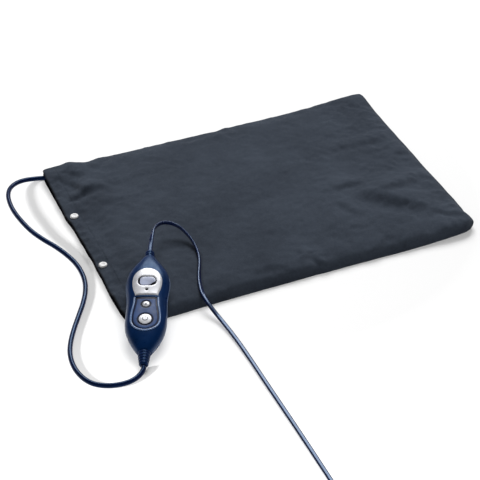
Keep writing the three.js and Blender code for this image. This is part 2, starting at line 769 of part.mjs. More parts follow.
function panelOutline(grow) {
  const [head, widest, foot] = [PANEL_HEAD + grow, PANEL_WIDEST, PANEL_FOOT - grow];
  const [headHalf, half] = [PANEL_HEAD_WIDTH / 2 + grow, PANEL_WIDTH / 2 + grow];
  const flank = (head - widest) / 2;
  const shoulder = (widest - foot) * 0.56;
  const arch = half * 0.56;
  const outline = new THREE.Shape();
  outline.moveTo(headHalf, head);
  outline.lineTo(-headHalf, head);
  outline.bezierCurveTo(-headHalf, head - flank, -half, widest + flank, -half, widest);
  outline.bezierCurveTo(-half, widest - shoulder, -arch, foot, 0, foot);
  outline.bezierCurveTo(arch, foot, half, widest - shoulder, half, widest);
  outline.bezierCurveTo(half, widest + flank, headHalf, head - flank, headHalf, head);
  return outline;
}

const windowPrism = (grow, bottom, top) =>
  prism(
    roundedRectangle(WINDOW_WIDTH + 2 * grow, WINDOW_HEIGHT + 2 * grow, WINDOW_CORNER + grow),
    bottom,
    top,
    4,
  ).translate(0, WINDOW_AT, 0);

const buttons = [
  { name: "level", at: LEVEL_AT, radius: LEVEL_RADIUS },
  { name: "power", at: POWER_AT, radius: POWER_RADIUS },
];
const screws = [
  { x: -SCREW_UPPER_SPREAD / 2, y: SCREW_UPPER_AT },
  { x: SCREW_UPPER_SPREAD / 2, y: SCREW_UPPER_AT },
  { x: -SCREW_LOWER_SPREAD / 2, y: SCREW_LOWER_AT },
  { x: SCREW_LOWER_SPREAD / 2, y: SCREW_LOWER_AT },
];
const boots = [
  { name: "mains_boot", ...MAINS_BOOT, end: UPPER_LENGTH, side: 1 },
  { name: "pad_cord_boot", ...PAD_BOOT, end: LOWER_LENGTH, side: -1 },
];

const standing = (geometry, x, y) => toSolid(geometry.translate(x, y, 0));

// Holes in the end walls that the boots' grooves sit in.
function withBootHoles(shell) {
  return boots.reduce((cut, { groove, end, side }) => {
    const hole = rod(groove + GAP, -3 * WALL, 3 * WALL, BOOT_SIDES).rotateX(Math.PI / 2);
    return cut.subtract(toSolid(hole.translate(0, side * end, 0)));
  }, shell);
}

function frontShell() {
  let shell = housing.subtract(cavity).intersect(halfSpace(GAP / 2, ABOVE));
  const bosses = screws.map(({ x, y }) =>
    standing(rod(SCREW_RADIUS + GAP + BOSS_WALL, GAP / 2, ABOVE, SCREW_SIDES), x, y),
  );
  const guides = buttons.map(({ at, radius }) =>
    standing(rod(radius + SLIDE_GAP + GUIDE_WALL, GUIDE_FOOT, ABOVE, BUTTON_SIDES), 0, at),
  );
  for (const post of [...bosses, ...guides]) {
    shell = shell.add(post.intersect(rooted));
  }
  const bezelFloor = bodySolid(-BEZEL_SUNK - GAP);
  const panelFloor = bodySolid(-PANEL_SUNK - PANEL_THICK - GAP);
  const bezelBed = toSolid(prism(bezelOutline(GAP), 0, ABOVE, 6)).subtract(bezelFloor);
  const panelBed = toSolid(prism(panelOutline(GAP), 0, ABOVE, 6)).subtract(panelFloor);
  shell = shell.subtract(bezelBed).subtract(panelBed);
  shell = shell.subtract(toSolid(windowPrism(-GAP, 0, ABOVE)));
  shell = shell.subtract(standing(rod(LAMP_RADIUS + GAP, 0, ABOVE, 10), 0, LAMP_AT));
  for (const { at, radius } of buttons) {
    shell = shell.subtract(standing(rod(radius + SLIDE_GAP, 0, ABOVE, BUTTON_SIDES), 0, at));
  }
  for (const { x, y } of screws) {
    shell = shell.subtract(standing(rod(SCREW_RADIUS + GAP, -GAP, SCREW_REACH + GAP, SCREW_SIDES), x, y));
  }
  return toGeometry(withBootHoles(shell));
}

const boardFoot = BOARD_TOP - BOARD_THICK;

function backShell() {
  let shell = housing.subtract(cavity).intersect(halfSpace(BELOW, -GAP / 2));
  const towers = screws.map(({ x, y }) =>
    standing(rod(SCREW_HEAD_RADIUS + GAP + BOSS_WALL, BELOW, -GAP / 2, SCREW_SIDES), x, y),
  );
  const ribTop = boardFoot - GAP;
  const ribs = [BOARD_HEAD, BOARD_FOOT].map((end) => {
    const y = end - Math.sign(end) * 2 * BOARD_RIB_WIDTH;
    return standing(block(2 * UPPER_WIDTH, BOARD_RIB_WIDTH, BELOW, ribTop), 0, y);
  });
  for (const post of [...towers, ...ribs]) {
    shell = shell.add(post.intersect(rooted));
  }
  for (const { x, y } of screws) {
    shell = shell.subtract(standing(rod(SCREW_RADIUS + GAP, BELOW, GAP, SCREW_SIDES), x, y));
    shell = shell.subtract(standing(rod(SCREW_HEAD_RADIUS + GAP, BELOW, SCREW_SEAT, SCREW_SIDES), x, y));
  }
  return toGeometry(withBootHoles(shell));
}

function displayBezel() {
  const cap = toSolid(prism(bezelOutline(0), 0, ABOVE, 6)).intersect(bodySolid(BEZEL_PROUD));
  return toGeometry(
    cap
      .subtract(bodySolid(-BEZEL_SUNK))
      .subtract(toSolid(windowPrism(0, 0, ABOVE)))
      .subtract(standing(rod(LAMP_RADIUS + GAP, 0, ABOVE, 10), 0, LAMP_AT)),
  );
}

function displayLens() {
  const pane = toSolid(windowPrism(-GAP, 0, ABOVE)).intersect(bodySolid(LENS_PROUD));
  return toGeometry(pane.subtract(bodySolid(-BEZEL_SUNK)));
}

function keypadPanel() {
  const plate = toSolid(prism(panelOutline(0), 0, ABOVE, 6)).intersect(bodySolid(-PANEL_SUNK));
  let panel = plate.subtract(bodySolid(-PANEL_SUNK - PANEL_THICK));
  const bezelRoom = toSolid(prism(bezelOutline(GAP), 0, ABOVE, 6));
  panel = panel.subtract(bezelRoom);
  for (const { at, radius } of buttons) {
    panel = panel.subtract(standing(rod(radius + RING_WIDTH, 0, ABOVE, BUTTON_SIDES), 0, at));
  }
  return toGeometry(panel);
}

const boardSeat = BOARD_TOP + GAP;
const switchTop = boardSeat + SWITCH_HEIGHT;
const plungerFoot = switchTop - PLUNGER_DEPTH;
const plungerTop = plungerFoot + PLUNGER_LENGTH;
const flangeTop = GUIDE_FOOT - GAP;

// A key: domed crown, barrel in its guide, flange below the guide and stem over the plunger.
function buttonKey({ at, radius }) {
  const crown = faceHeight(at) - PANEL_SUNK + BUTTON_PROUD;
  const stem = PLUNGER_RADIUS + GAP;
  return turned([
    [0, plungerTop + GAP],
    [stem, plungerTop + GAP],
    [stem, flangeTop - FLANGE_THICK],
    [radius + BUTTON_FLANGE, flangeTop - FLANGE_THICK],
    [radius + BUTTON_FLANGE, flangeTop],
    [radius, flangeTop],
    [radius, crown],
    [radius * 0.86, crown + BUTTON_CROWN * 0.6],
    [radius * 0.5, crown + BUTTON_CROWN * 0.9],
    [0, crown + BUTTON_CROWN],
  ], BUTTON_SIDES);
}

function switchBody() {
  const body = block(SWITCH_SIZE, SWITCH_SIZE, boardSeat, switchTop);
  const wellFoot = plungerFoot - BUTTON_TRAVEL - GAP;
  return toGeometry(toSolid(body).subtract(toSolid(rod(PLUNGER_RADIUS + GAP, wellFoot, ABOVE, 10))));
}

function circuitBoard() {
  const length = BOARD_HEAD - BOARD_FOOT;
  const board = prism(roundedRectangle(BOARD_WIDTH, length, BOARD_CORNER), boardFoot, BOARD_TOP, 3);
  return board.translate(0, (BOARD_HEAD + BOARD_FOOT) / 2, 0);
}

function housingScrew() {
  const head = SCREW_SEAT - GAP;
  return turned([
    [0, head - SCREW_HEAD],
    [SCREW_HEAD_RADIUS * 0.7, head - SCREW_HEAD],
    [SCREW_HEAD_RADIUS, head - SCREW_HEAD * 0.6],
    [SCREW_HEAD_RADIUS, head],
    [SCREW_RADIUS, head],
    [SCREW_RADIUS, SCREW_REACH - SCREW_POINT],
    [0, SCREW_REACH],
  ], SCREW_SIDES - 2);
}

// A ribbed strain relief: flange inside the end wall, groove in it, and a tapering ribbed tail.
function strainRelief({ length, base, tip, ribs, flange, groove }) {
  const wallIn = -WALL - GAP;
  const profile = [
    [0, wallIn - BOOT_FLANGE_THICK],
    [flange, wallIn - BOOT_FLANGE_THICK],
    [flange, wallIn],
    [groove, wallIn],
    [groove, GAP],
  ];
  const ribPitch = (length - GAP) / ribs;
  for (let rib = 0; rib < ribs; rib += 1) {
    const radius = base + ((tip - base) * (rib + 0.5)) / ribs;
    const foot = GAP + rib * ribPitch;
    profile.push([radius, foot], [radius, foot + ribPitch * 0.62]);
    if (rib < ribs - 1) {
      profile.push([radius - BOOT_RIB_DEPTH, foot + ribPitch * 0.72]);
      profile.push([radius - BOOT_RIB_DEPTH, foot + ribPitch]);
    }
  }
  profile.push([tip * 0.92, length], [0, length]);
  return turned(profile, BOOT_SIDES);
}

// Where the controller rests

const lowerTip = LOWER_LENGTH + PAD_BOOT.length;
const upperTip = UPPER_LENGTH + MAINS_BOOT.length;

function controllerMatrix(pitch) {
  const turn = new THREE.Euler(pitch, 0, HEADING - Math.PI / 2, "ZXY");
  const matrix = new THREE.Matrix4().makeRotationFromEuler(turn);
  const tip = new THREE.Vector3(0, -lowerTip, 0).applyMatrix4(matrix);
  const stand = new THREE.Vector3(
    MOUTH_X - TIP_PAST_MOUTH,
    -PAD_WIDTH / 2 - TIP_PAST_FRONT,
    PAD_BOOT.tip + GAP,
  );
  return matrix.setPosition(stand.sub(tip));
}

function clearanceOverPad(pitch) {
  const matrix = controllerMatrix(pitch);
  const heights = bodyRings(0, BODY_MESH)
    .flat()
    .filter((point) => point.z < 0)
    .map((point) => point.applyMatrix4(matrix))
    .filter((point) => point.x > MOUTH_X && Math.abs(point.y) < padHalfWidth(point.x))
    .map((point) => point.z - coverTop(point.x, point.y));
  return Math.min(...heights);
}

// The least tilt at which the back clears the cover.
function restPitch() {
  let [low, high] = [0, Math.PI / 6];
  for (let i = 0; i < 40; i += 1) {
    const middle = (low + high) / 2;
    if (clearanceOverPad(middle) < REST_GAP) {
      low = middle;
    } else {
      high = middle;
    }
  }
  return high;
}

const controllerPitch = restPitch();
const controllerPlace = controllerMatrix(controllerPitch);
const controllerPoint = (y) => new THREE.Vector3(0, y, 0).applyMatrix4(controllerPlace);

// Flexes

const onTable = PAD_CORD_RADIUS + FLOOR_GAP;
const PAD_CORD_ROUTE = [
  [-242, 160.8, 6],
  [-254, 158.7, 8.5],
  [-265.7, 153, 11],
  [-276.3, 142.8, 13],
  [-283.7, 127.7, 14.5],
  [-287.3, 109.2, 15],
  [-287.8, 87.4, 15],
  [-284.7, 62.3, 14.5],
  [-279.2, 40.6, 13],
  [-270.6, 21.4, 11],
  [-261, 4.2, 9],
  [-253.4, -13, 7],
  [-248.2, -29.7, 5.2],
  [-246.3, -48.2, 4],
  [-248, -68, onTable],
  [-254, -88, onTable],
  [-263.5, -108, onTable],
  [-276, -129, onTable],
  [-288.5, -150, onTable],
  [-298.5, -169, onTable],
  [-305.5, -187, onTable],
  [-309, -205, onTable],
  [-309, -222, onTable],
  [-305, -239, onTable],
  [-298, -250.5, onTable],
  [-287, -258.5, onTable],
  [-274, -262.6, onTable],
  [-260.5, -262.8, onTable],
  [-249.5, -258.6, onTable],
];

const onFloor = MAINS_THICK / 2 + FLOOR_GAP;
const MAINS_ROUTE = [
  [-158, -62, 40.6],
  [-152, -51.5, 40.2],
  [-144, -43, 38.6],
  [-135, -38.5, 36.4],
  [-126, -39.5, 33.6],
  [-118.5, -45.5, 30.6],
  [-113.5, -55, 27],
  [-110.5, -66, 23.6],
  [-109.5, -79, 20.4],
  [-111, -93, 18],
  [-115, -106, 17],
  [-120.5, -119, 16.4],
  [-126.5, -134, 15.8],
  [-131, -150, 15.2],
  [-133, -162, 14.2],
  [-132.8, -173, 12.2],
  [-131, -184, 9],
  [-128.5, -196, 5.8],
  [-126, -212, 3.6],
  [-124, -232, 2.5],
  [-122.8, -255, 2],
  [-122.2, -285, onFloor],
  [-122, -320, onFloor],
  [-121.6, -360, onFloor],
  [-121.2, -400, onFloor],
  [-121, -440, onFloor],
  [-121, -470, onFloor],
];

const asPoints = (route) => route.map((point) => new THREE.Vector3(...point));

function padCordPoints() {
  const start = snoutTip.clone().add(new THREE.Vector3(-GAP, 0, 0));
  const mouth = new THREE.Vector3(MOUTH_X, PAD_WIDTH / 2 - CORD_EXIT_FROM_SIDE, CLOTH + GAP + onTable);
  const level = start.clone().add(new THREE.Vector3(-STRAIGHT_OUT, 0, 0));
  const leave = controllerPoint(-lowerTip - STRAIGHT_OUT);
  const end = controllerPoint(-lowerTip - GAP);
  return [start, level, mouth, ...asPoints(PAD_CORD_ROUTE), leave, end];
}

function mainsCordPoints() {
  const start = controllerPoint(upperTip + GAP);
  const leave = controllerPoint(upperTip + STRAIGHT_OUT);
  const end = new THREE.Vector3(COIL_START[0], COIL_START[1] + GAP, onFloor);
  return [start, leave, ...asPoints(MAINS_ROUTE), end];
}

// The flex leaves its boot lying level, turns on edge over the pad and lies flat again on the table.
function mainsFlex() {
  const route = new THREE.CatmullRomCurve3(mainsCordPoints(), false, "centripetal");
  const points = route.getPoints(MAINS_STEPS);
  let far = 0;
  const rolls = points.map((point, i) => {
    far += i > 0 ? point.distanceTo(points[i - 1]) : 0;
    return MAINS_EDGE_ROLL * (smoothRise(...MAINS_TURN_UP, far) - smoothRise(...MAINS_TURN_DOWN, far));
  });
  return sweep(points, MAINS_WIDTH / 2, MAINS_THICK / 2, CORD_SIDES, rolls);
}

// Coil: a straight lead-in that turns the flex on edge, a spiral in on the lower layer and out on
// the upper one, and a run that drops to the plug.

const coilCentre = { x: COIL_START[0] - COIL_RADIUS, y: COIL_START[1] - COIL_LEAD_IN };
const coilFoot = FLOOR_GAP + TIE_THICK + GAP;
const coilLow = coilFoot + MAINS_WIDTH / 2;
const coilHigh = coilLow + COIL_LAYER;
const plugAxis = PLUG_THICK / 2 + FLOOR_GAP;

function coilPath() {
  const points = [];
  const rolls = [];
  const onEdge = Math.PI / 2;
  const leadSteps = 6;
  for (let i = 0; i < leadSteps; i += 1) {
    const share = smoothRise(1, leadSteps, i);
    const y = COIL_START[1] - (COIL_LEAD_IN * i) / leadSteps;
    points.push(new THREE.Vector3(COIL_START[0], y, onFloor + (coilLow - onFloor) * share));
    rolls.push(onEdge * share);
  }
  const half = COIL_TURNS / 2;
  const steps = Math.round(COIL_TURNS * COIL_STEPS);
  for (let i = 0; i <= steps; i += 1) {
    const turns = i / COIL_STEPS;
    const angle = 2 * Math.PI * turns;
    const radius = COIL_RADIUS - COIL_PITCH * (half - Math.abs(turns - half));
    const climb = clamp01((turns - half) * 2 + 0.5);
    points.push(
      new THREE.Vector3(
        coilCentre.x + radius * Math.cos(angle),
        coilCentre.y - radius * Math.sin(angle),
        coilLow + COIL_LAYER * climb,
      ),
    );
    rolls.push(onEdge);
  }
  const off = points.at(-1);
  const dropSteps = 6;
  for (let i = 1; i <= dropSteps; i += 1) {
    const share = smoothRise(0, dropSteps - 1, i);
    const x = off.x - COIL_LEVEL_RUN - (COIL_DROP_RUN * i) / dropSteps;
    points.push(new THREE.Vector3(x, off.y, coilHigh + (plugAxis - coilHigh) * share));
    rolls.push(onEdge * (1 - share));
  }
  return { points, rolls };
}

const coil = coilPath();

// Least clear distance of the coil from itself, between points more than half a turn apart,
// with the section taken as an ellipse standing on edge.
function coilSelfGap({ points }) {
  let least = Infinity;
  points.forEach((p, i) => {
    for (let j = i + COIL_STEPS / 2; j < points.length; j += 1) {
      const level = Math.hypot(p.x - points[j].x, p.y - points[j].y);
      const upright = Math.abs(p.z - points[j].z);
      const scaled = Math.hypot(level / MAINS_THICK, upright / MAINS_WIDTH);
      least = Math.min(least, (1 - 1 / scaled) * Math.hypot(level, upright));
    }
  });
  return least;
}

function cordTie() {
  const inner = COIL_RADIUS - (COIL_PITCH * COIL_TURNS) / 2 - MAINS_THICK / 2 - TIE_CLEAR;
  const outer = COIL_RADIUS + MAINS_THICK / 2 + TIE_CLEAR;
  const [foot, top] = [coilFoot - GAP, coilHigh + MAINS_WIDTH / 2 + GAP];
  const [width, height] = [outer - inner, top - foot];
  const outline = roundedRectangle(width + 2 * TIE_THICK, height + 2 * TIE_THICK, TIE_CORNER + TIE_THICK);
  outline.holes.push(new THREE.Path(roundedRectangle(width, height, TIE_CORNER).getPoints(3)));
  const strap = prism(outline, -TIE_WIDTH / 2, TIE_WIDTH / 2, 3).rotateX(Math.PI / 2);
  return strap.translate(coilCentre.x - (inner + outer) / 2, coilCentre.y, (foot + top) / 2);
}

// Plug. Its own frame: the cord enters at y = 0 and the pins point along -Y.

function plugBody() {
  const face = PLUG_BOOT_LENGTH + PLUG_LENGTH;
  const tail = [
    { y: 0, width: PLUG_BOOT_WIDTH, thick: PLUG_BOOT_THICK },
    { y: PLUG_BOOT_LENGTH, width: PLUG_TAIL_WIDTH, thick: PLUG_TAIL_THICK },
    {
      y: PLUG_BOOT_LENGTH + PLUG_STEP,
      width: PLUG_TAIL_WIDTH + 2 * PLUG_STEP,
      thick: PLUG_TAIL_THICK + 2 * PLUG_STEP,
    },
  ];
  const grip = [
    { y: PLUG_BOOT_LENGTH + PLUG_LENGTH * 0.3, width: PLUG_WIDTH * 0.52, thick: PLUG_THICK * 0.9 },
    { y: PLUG_BOOT_LENGTH + PLUG_LENGTH * 0.65, width: PLUG_WIDTH * 0.85, thick: PLUG_THICK * 0.97 },
    { y: PLUG_BOOT_LENGTH + PLUG_LENGTH * 0.8, width: PLUG_WIDTH, thick: PLUG_THICK },
    { y: face - PLUG_STEP, width: PLUG_WIDTH, thick: PLUG_THICK },
    { y: face, width: PLUG_WIDTH - 2 * PLUG_STEP, thick: PLUG_THICK - 2 * PLUG_STEP },
  ];
  const rings = [...tail, ...grip].map(({ y, width, thick }) =>
    Array.from({ length: PLUG_SIDES }, (_, j) => {
      const angle = (2 * Math.PI * j) / PLUG_SIDES;
      const [across, rise] = [squared(Math.cos(angle)), squared(Math.sin(angle))];
      return new THREE.Vector3((across * width) / 2, -y, (rise * thick) / 2);
    }),
  );
  let body = toSolid(loft(rings));
  for (const side of [-1, 1]) {
    const sleeve = rod(PIN_RADIUS, -PIN_RADIUS, PIN_SLEEVE, PIN_SIDES);
    const bore = rod(PIN_SHANK_RADIUS + GAP, -PIN_SHANK_DEPTH - GAP, PIN_SLEEVE + GAP, PIN_SIDES);
    const x = (side * PIN_SPACING) / 2;
    const place = (geometry) => toSolid(geometry.rotateX(Math.PI / 2).translate(x, -face, 0));
    body = body.add(place(sleeve)).subtract(place(bore));
  }
  return toGeometry(body);
}

function plugPin() {
  const tip = turned([
    [0, -PIN_SHANK_DEPTH],
    [PIN_SHANK_RADIUS, -PIN_SHANK_DEPTH],
    [PIN_SHANK_RADIUS, PIN_SLEEVE + GAP],
    [PIN_RADIUS, PIN_SLEEVE + GAP],
    [PIN_RADIUS, PIN_LENGTH - PIN_ROUND],
    [PIN_RADIUS * 0.6, PIN_LENGTH],
    [0, PIN_LENGTH],
  ], PIN_SIDES);
  return tip.rotateX(Math.PI / 2).translate(0, -PLUG_BOOT_LENGTH - PLUG_LENGTH, 0);
}

// Assembly

function buildPad() {
  const pad = new THREE.Group();
  addPart(pad, "pad_cover", padCover(), cotton);
  addPart(pad, "insert_base_felt", prism(insertOutline(0), feltFoot, feltFoot + BASE_FELT, 3), felt);
  addPart(pad, "insert_top_felt", insertTopFelt(), felt);
  addPart(pad, "heating_wire", heatingWire(), whitePlastic);
  addPart(pad, "thermal_cutout", thermalCutout(), darkPlastic);
  addPart(pad, "junction_block", junctionBlock(), darkPlastic);
  snapPlaces.forEach(({ x, y }, i) => {
    const place = [x, y, 0];
    addPart(pad, `snap_cap_${i + 1}`, snapCap(), whitePlastic, place);
    addPart(pad, `snap_socket_${i + 1}`, snapSocket(), palePlastic, place);
    addPart(pad, `snap_stud_${i + 1}`, snapStud(), palePlastic, place);
    addPart(pad, `snap_back_${i + 1}`, snapBack(), whitePlastic, place);
  });
  return pad;
}

function buildController() {
  const controller = new THREE.Group();
  addPart(controller, "front_shell", frontShell(), navyPlastic);
  addPart(controller, "back_shell", backShell(), navyPlastic);
  addPart(controller, "display_bezel", displayBezel(), silverPlastic);
  addPart(controller, "display_lens", displayLens(), smokedLens);
  addPart(controller, "keypad_panel", keypadPanel(), slatePanel);
  const module = block(MODULE_WIDTH, MODULE_HEIGHT, boardSeat, MODULE_TOP);
  addPart(controller, "display_module", module, palePlastic, [0, WINDOW_AT, 0]);
  const lampTop = faceHeight(LAMP_AT) + BEZEL_PROUD;
  const lamp = rod(LAMP_RADIUS, boardSeat, lampTop, 10);
  addPart(controller, "indicator_light", lamp, darkPlastic, [0, LAMP_AT, 0]);
  for (const button of buttons) {
    const place = [0, button.at, 0];
    addPart(controller, `${button.name}_button`, buttonKey(button), silverPlastic, place);
    addPart(controller, `${button.name}_switch`, switchBody(), darkPlastic, place);
    const plunger = rod(PLUNGER_RADIUS, plungerFoot, plungerTop, 10);
    addPart(controller, `${button.name}_plunger`, plunger, whitePlastic, place);
  }
  addPart(controller, "circuit_board", circuitBoard(), greenBoard);
  const under = boardFoot - GAP;
  const chip = block(CHIP.width, CHIP.length, boardSeat, boardSeat + CHIP.height);
  addPart(controller, "microcontroller", chip, darkPlastic, [CHIP.x, LEVEL_AT, 0]);
  const triac = block(TRIAC.width, TRIAC.length, under - TRIAC.height, under);
  addPart(controller, "triac", triac, darkPlastic, [TRIAC.x, BOARD_FOOT + TRIAC.fromFoot, 0]);
  const capacitor = block(CAPACITOR.width, CAPACITOR.length, under - CAPACITOR.height, under);
  const capacitorPlace = [CAPACITOR.x, BOARD_HEAD - CAPACITOR.fromHead, 0];
  addPart(controller, "suppression_capacitor", capacitor, slatePanel, capacitorPlace);
  const fuse = rod(FUSE.radius, -FUSE.length / 2, FUSE.length / 2, 12).rotateX(Math.PI / 2);
  fuse.translate(0, 0, under - FUSE.radius);
  addPart(controller, "fuse", fuse, glass, [FUSE.x, BOARD_HEAD - FUSE.fromHead, 0]);
  screws.forEach(({ x, y }, i) => {
    addPart(controller, `housing_screw_${i + 1}`, housingScrew(), steel, [x, y, 0]);
  });
  for (const boot of boots) {
    const relief = strainRelief(boot).rotateX((-boot.side * Math.PI) / 2);
    addPart(controller, boot.name, relief, navyRubber, [0, boot.side * boot.end, 0]);
  }
  controller.applyMatrix4(controllerPlace);
  return controller;
}

function buildFlexes() {
  const flexes = new THREE.Group();
  addPart(flexes, "pad_cord", flexTube(padCordPoints(), PAD_CORD_RADIUS, PAD_CORD_STEPS), navyRubber);
  addPart(flexes, "mains_cord", mainsFlex(), navyRubber);
  const wound = sweep(coil.points, MAINS_WIDTH / 2, MAINS_THICK / 2, COIL_SIDES, coil.rolls);
  addPart(flexes, "mains_cord_coil", wound, navyRubber);
  addPart(flexes, "cord_tie", cordTie(), darkPlastic);
  return flexes;
}

function buildPlug() {
  const plug = new THREE.Group();
  addPart(plug, "plug_body", plugBody(), navyRubber);
  addPart(plug, "plug_pin_1", plugPin(), nickel, [-PIN_SPACING / 2, 0, 0]);
  addPart(plug, "plug_pin_2", plugPin(), nickel, [PIN_SPACING / 2, 0, 0]);
  const end = coil.points.at(-1);
  plug.position.set(end.x - GAP, end.y, plugAxis);
  plug.rotation.z = -Math.PI / 2;
  return plug;
}

console.log(`controller tilt ${THREE.MathUtils.radToDeg(controllerPitch).toFixed(2)} degrees`);
console.log(`coil's least gap to itself ${coilSelfGap(coil).toFixed(2)} mm`);

const heatingPad = new THREE.Group();
heatingPad.add(buildPad(), buildController(), buildFlexes(), buildPlug());

export default heatingPad;
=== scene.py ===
import math

import bmesh
import bpy
import numpy as np
from mathutils import Matrix, Vector, noise
from mathutils.geometry import delaunay_2d_cdt


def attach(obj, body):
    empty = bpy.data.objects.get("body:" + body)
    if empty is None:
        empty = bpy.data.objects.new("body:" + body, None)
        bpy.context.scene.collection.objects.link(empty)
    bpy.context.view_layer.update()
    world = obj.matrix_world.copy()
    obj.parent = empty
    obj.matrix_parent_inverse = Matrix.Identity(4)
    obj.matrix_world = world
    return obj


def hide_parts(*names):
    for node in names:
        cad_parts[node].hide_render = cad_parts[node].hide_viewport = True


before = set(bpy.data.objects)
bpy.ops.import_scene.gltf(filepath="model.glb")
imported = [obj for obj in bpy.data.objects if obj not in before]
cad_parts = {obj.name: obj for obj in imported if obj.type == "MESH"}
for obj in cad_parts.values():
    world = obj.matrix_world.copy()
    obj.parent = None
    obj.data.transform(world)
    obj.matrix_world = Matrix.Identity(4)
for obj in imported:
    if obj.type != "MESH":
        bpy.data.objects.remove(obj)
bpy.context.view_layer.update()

# Lengths are in millimetres up to the mesh builders, which turn them into metres.
MM = 0.001
ROOT = "pad_and_controller"
GAP = 0.3
FLOOR_GAP = 0.1
AXIS = 0.01  # radius at which a turned body closes on its axis
WHITE = (1, 1, 1, 1)


def new_object(name, data):
    made = bpy.data.objects.new(name, data)
    bpy.context.scene.collection.objects.link(made)
    return made


# Camera

CAMERA_AT = (-702.2, -1709.1, 1302.8)
CAMERA_AIM = (-45.11, -63.122, 0)
CAMERA_LEVEL = (0.9236, -0.383, -0.0182)
FOCUS, PICTURE = 1785.49, 480  # focal length and picture's width in pixels
SENSOR = 36
FAR_CLIP = 30


def add_camera():
    position = Vector(CAMERA_AT) * MM
    level = Vector(CAMERA_LEVEL)
    forward = (Vector(CAMERA_AIM) * MM - position).normalized()
    right = (level - forward * level.dot(forward)).normalized()
    up = right.cross(forward)
    lens = bpy.data.cameras.new("camera")
    lens.sensor_width = SENSOR
    lens.lens = SENSOR * FOCUS / PICTURE
    lens.clip_end = FAR_CLIP
    camera = new_object("camera", lens)
    place = Matrix((right, up, -forward)).transposed().to_4x4()
    place.translation = position
    camera.matrix_world = place
    bpy.context.scene.camera = camera


# Materials


def linear(colour):
    shares = [value / 255 for value in colour]
    return [s / 12.92 if s < 0.04045 else ((s + 0.055) / 1.055) ** 2.4 for s in shares]


def new_material(name, colour, roughness, **sockets):
    material = bpy.data.materials.new(name)
    material.use_nodes = True
    shader = material.node_tree.nodes["Principled BSDF"]
    shader.inputs["Base Color"].default_value = (*linear(colour), 1)
    shader.inputs["Roughness"].default_value = roughness
    for socket, value in sockets.items():
        shader.inputs[socket.replace("_", " ")].default_value = value
    return material


def add_node(material, kind, values=None, **properties):
    node = material.node_tree.nodes.new(kind)
    for name, value in properties.items():
        setattr(node, name, value)
    for socket, value in (values or {}).items():
        node.inputs[socket].default_value = value
    return node


def join(material, source, target):
    material.node_tree.links.new(source, target)


def shader_input(material, name):
    return material.node_tree.nodes["Principled BSDF"].inputs[name]


def noise_of(material, scale, detail=3, roughness=0.55):
    place = add_node(material, "ShaderNodeTexCoord")
    texture = add_node(
        material,
        "ShaderNodeTexNoise",
        {"Scale": scale, "Detail": detail, "Roughness": roughness},
    )
    join(material, place.outputs["Object"], texture.inputs["Vector"])
    return texture.outputs["Fac"]


def add_ramp(material, value, stops):
    """A base colour that follows a value through stops, each a place and a colour."""
    ramp = add_node(material, "ShaderNodeValToRGB")
    elements = ramp.color_ramp.elements
    for number, (at, colour) in enumerate(stops):
        stop = elements[number] if number < 2 else elements.new(at)
        stop.position = at
        stop.color = (*linear(colour), 1)
    join(material, value, ramp.inputs["Fac"])
    join(material, ramp.outputs["Color"], shader_input(material, "Base Color"))


def map_range(material, value, *ends):
    """A value moved from one range to another: from low, from high, to low, to high."""
    sockets = dict(zip(("From Min", "From Max", "To Min", "To Max"), ends))
    node = add_node(material, "ShaderNodeMapRange", sockets)
    join(material, value, node.inputs["Value"])
    return node.outputs["Result"]


def add_bump(material, height, distance, strength=1.0):
    bump = add_node(material, "ShaderNodeBump", {"Distance": distance * MM, "Strength": strength})
    join(material, height, bump.inputs["Height"])
    join(material, bump.outputs["Normal"], shader_input(material, "Normal"))


def math_node(material, operation, first, second=None):
    node = add_node(material, "ShaderNodeMath", operation=operation)
    for socket, value in zip(node.inputs, (first, second)):
        if isinstance(value, bpy.types.NodeSocket):
            join(material, value, socket)
        elif value is not None:
            socket.default_value = value
    return node.outputs["Value"]


def scaled(material, value, factor):
    return math_node(material, "MULTIPLY", value, factor)


# Scales of the materials' noise, in waves to a metre
TONE_SCALE, GLOSS_SCALE, FUZZ_SCALE = 60, 140, 1500
# A cloth's drift in tone: noise scale, detail, roughness and share of each
CLOTH_TONES = [(14, 3, 0.55, 0.5), (150, 3, 0.6, 0.15), (420, 4, 0.7, 0.35)]
WEAVE_STRENGTH = 0.55
# How far the painted edge shade takes the cloth's tone towards the seam's dark colour
EDGE_SHADE_SHARE = 0.6


def moulded(name, colour, roughness, grain=900, depth=0.02, gloss=0.5, tint=WHITE, **sockets):
    """Moulded plastic or rubber: fine skin, uneven gloss and a slight drift in tone."""
    sockets |= {"Specular_IOR_Level": gloss, "Specular_Tint": tint}
    material = new_material(name, colour, roughness, **sockets)
    darker = [value * 0.92 for value in colour]
    lighter = [min(255, value * 1.08 + 2) for value in colour]
    add_ramp(material, noise_of(material, TONE_SCALE, 4), [(0.35, darker), (0.65, lighter)])
    smooth, dull = roughness * 0.8, min(1, roughness * 1.25)
    uneven = map_range(material, noise_of(material, GLOSS_SCALE), 0.3, 0.7, smooth, dull)
    join(material, uneven, shader_input(material, "Roughness"))
    add_bump(material, noise_of(material, grain, 2), depth)
    return material


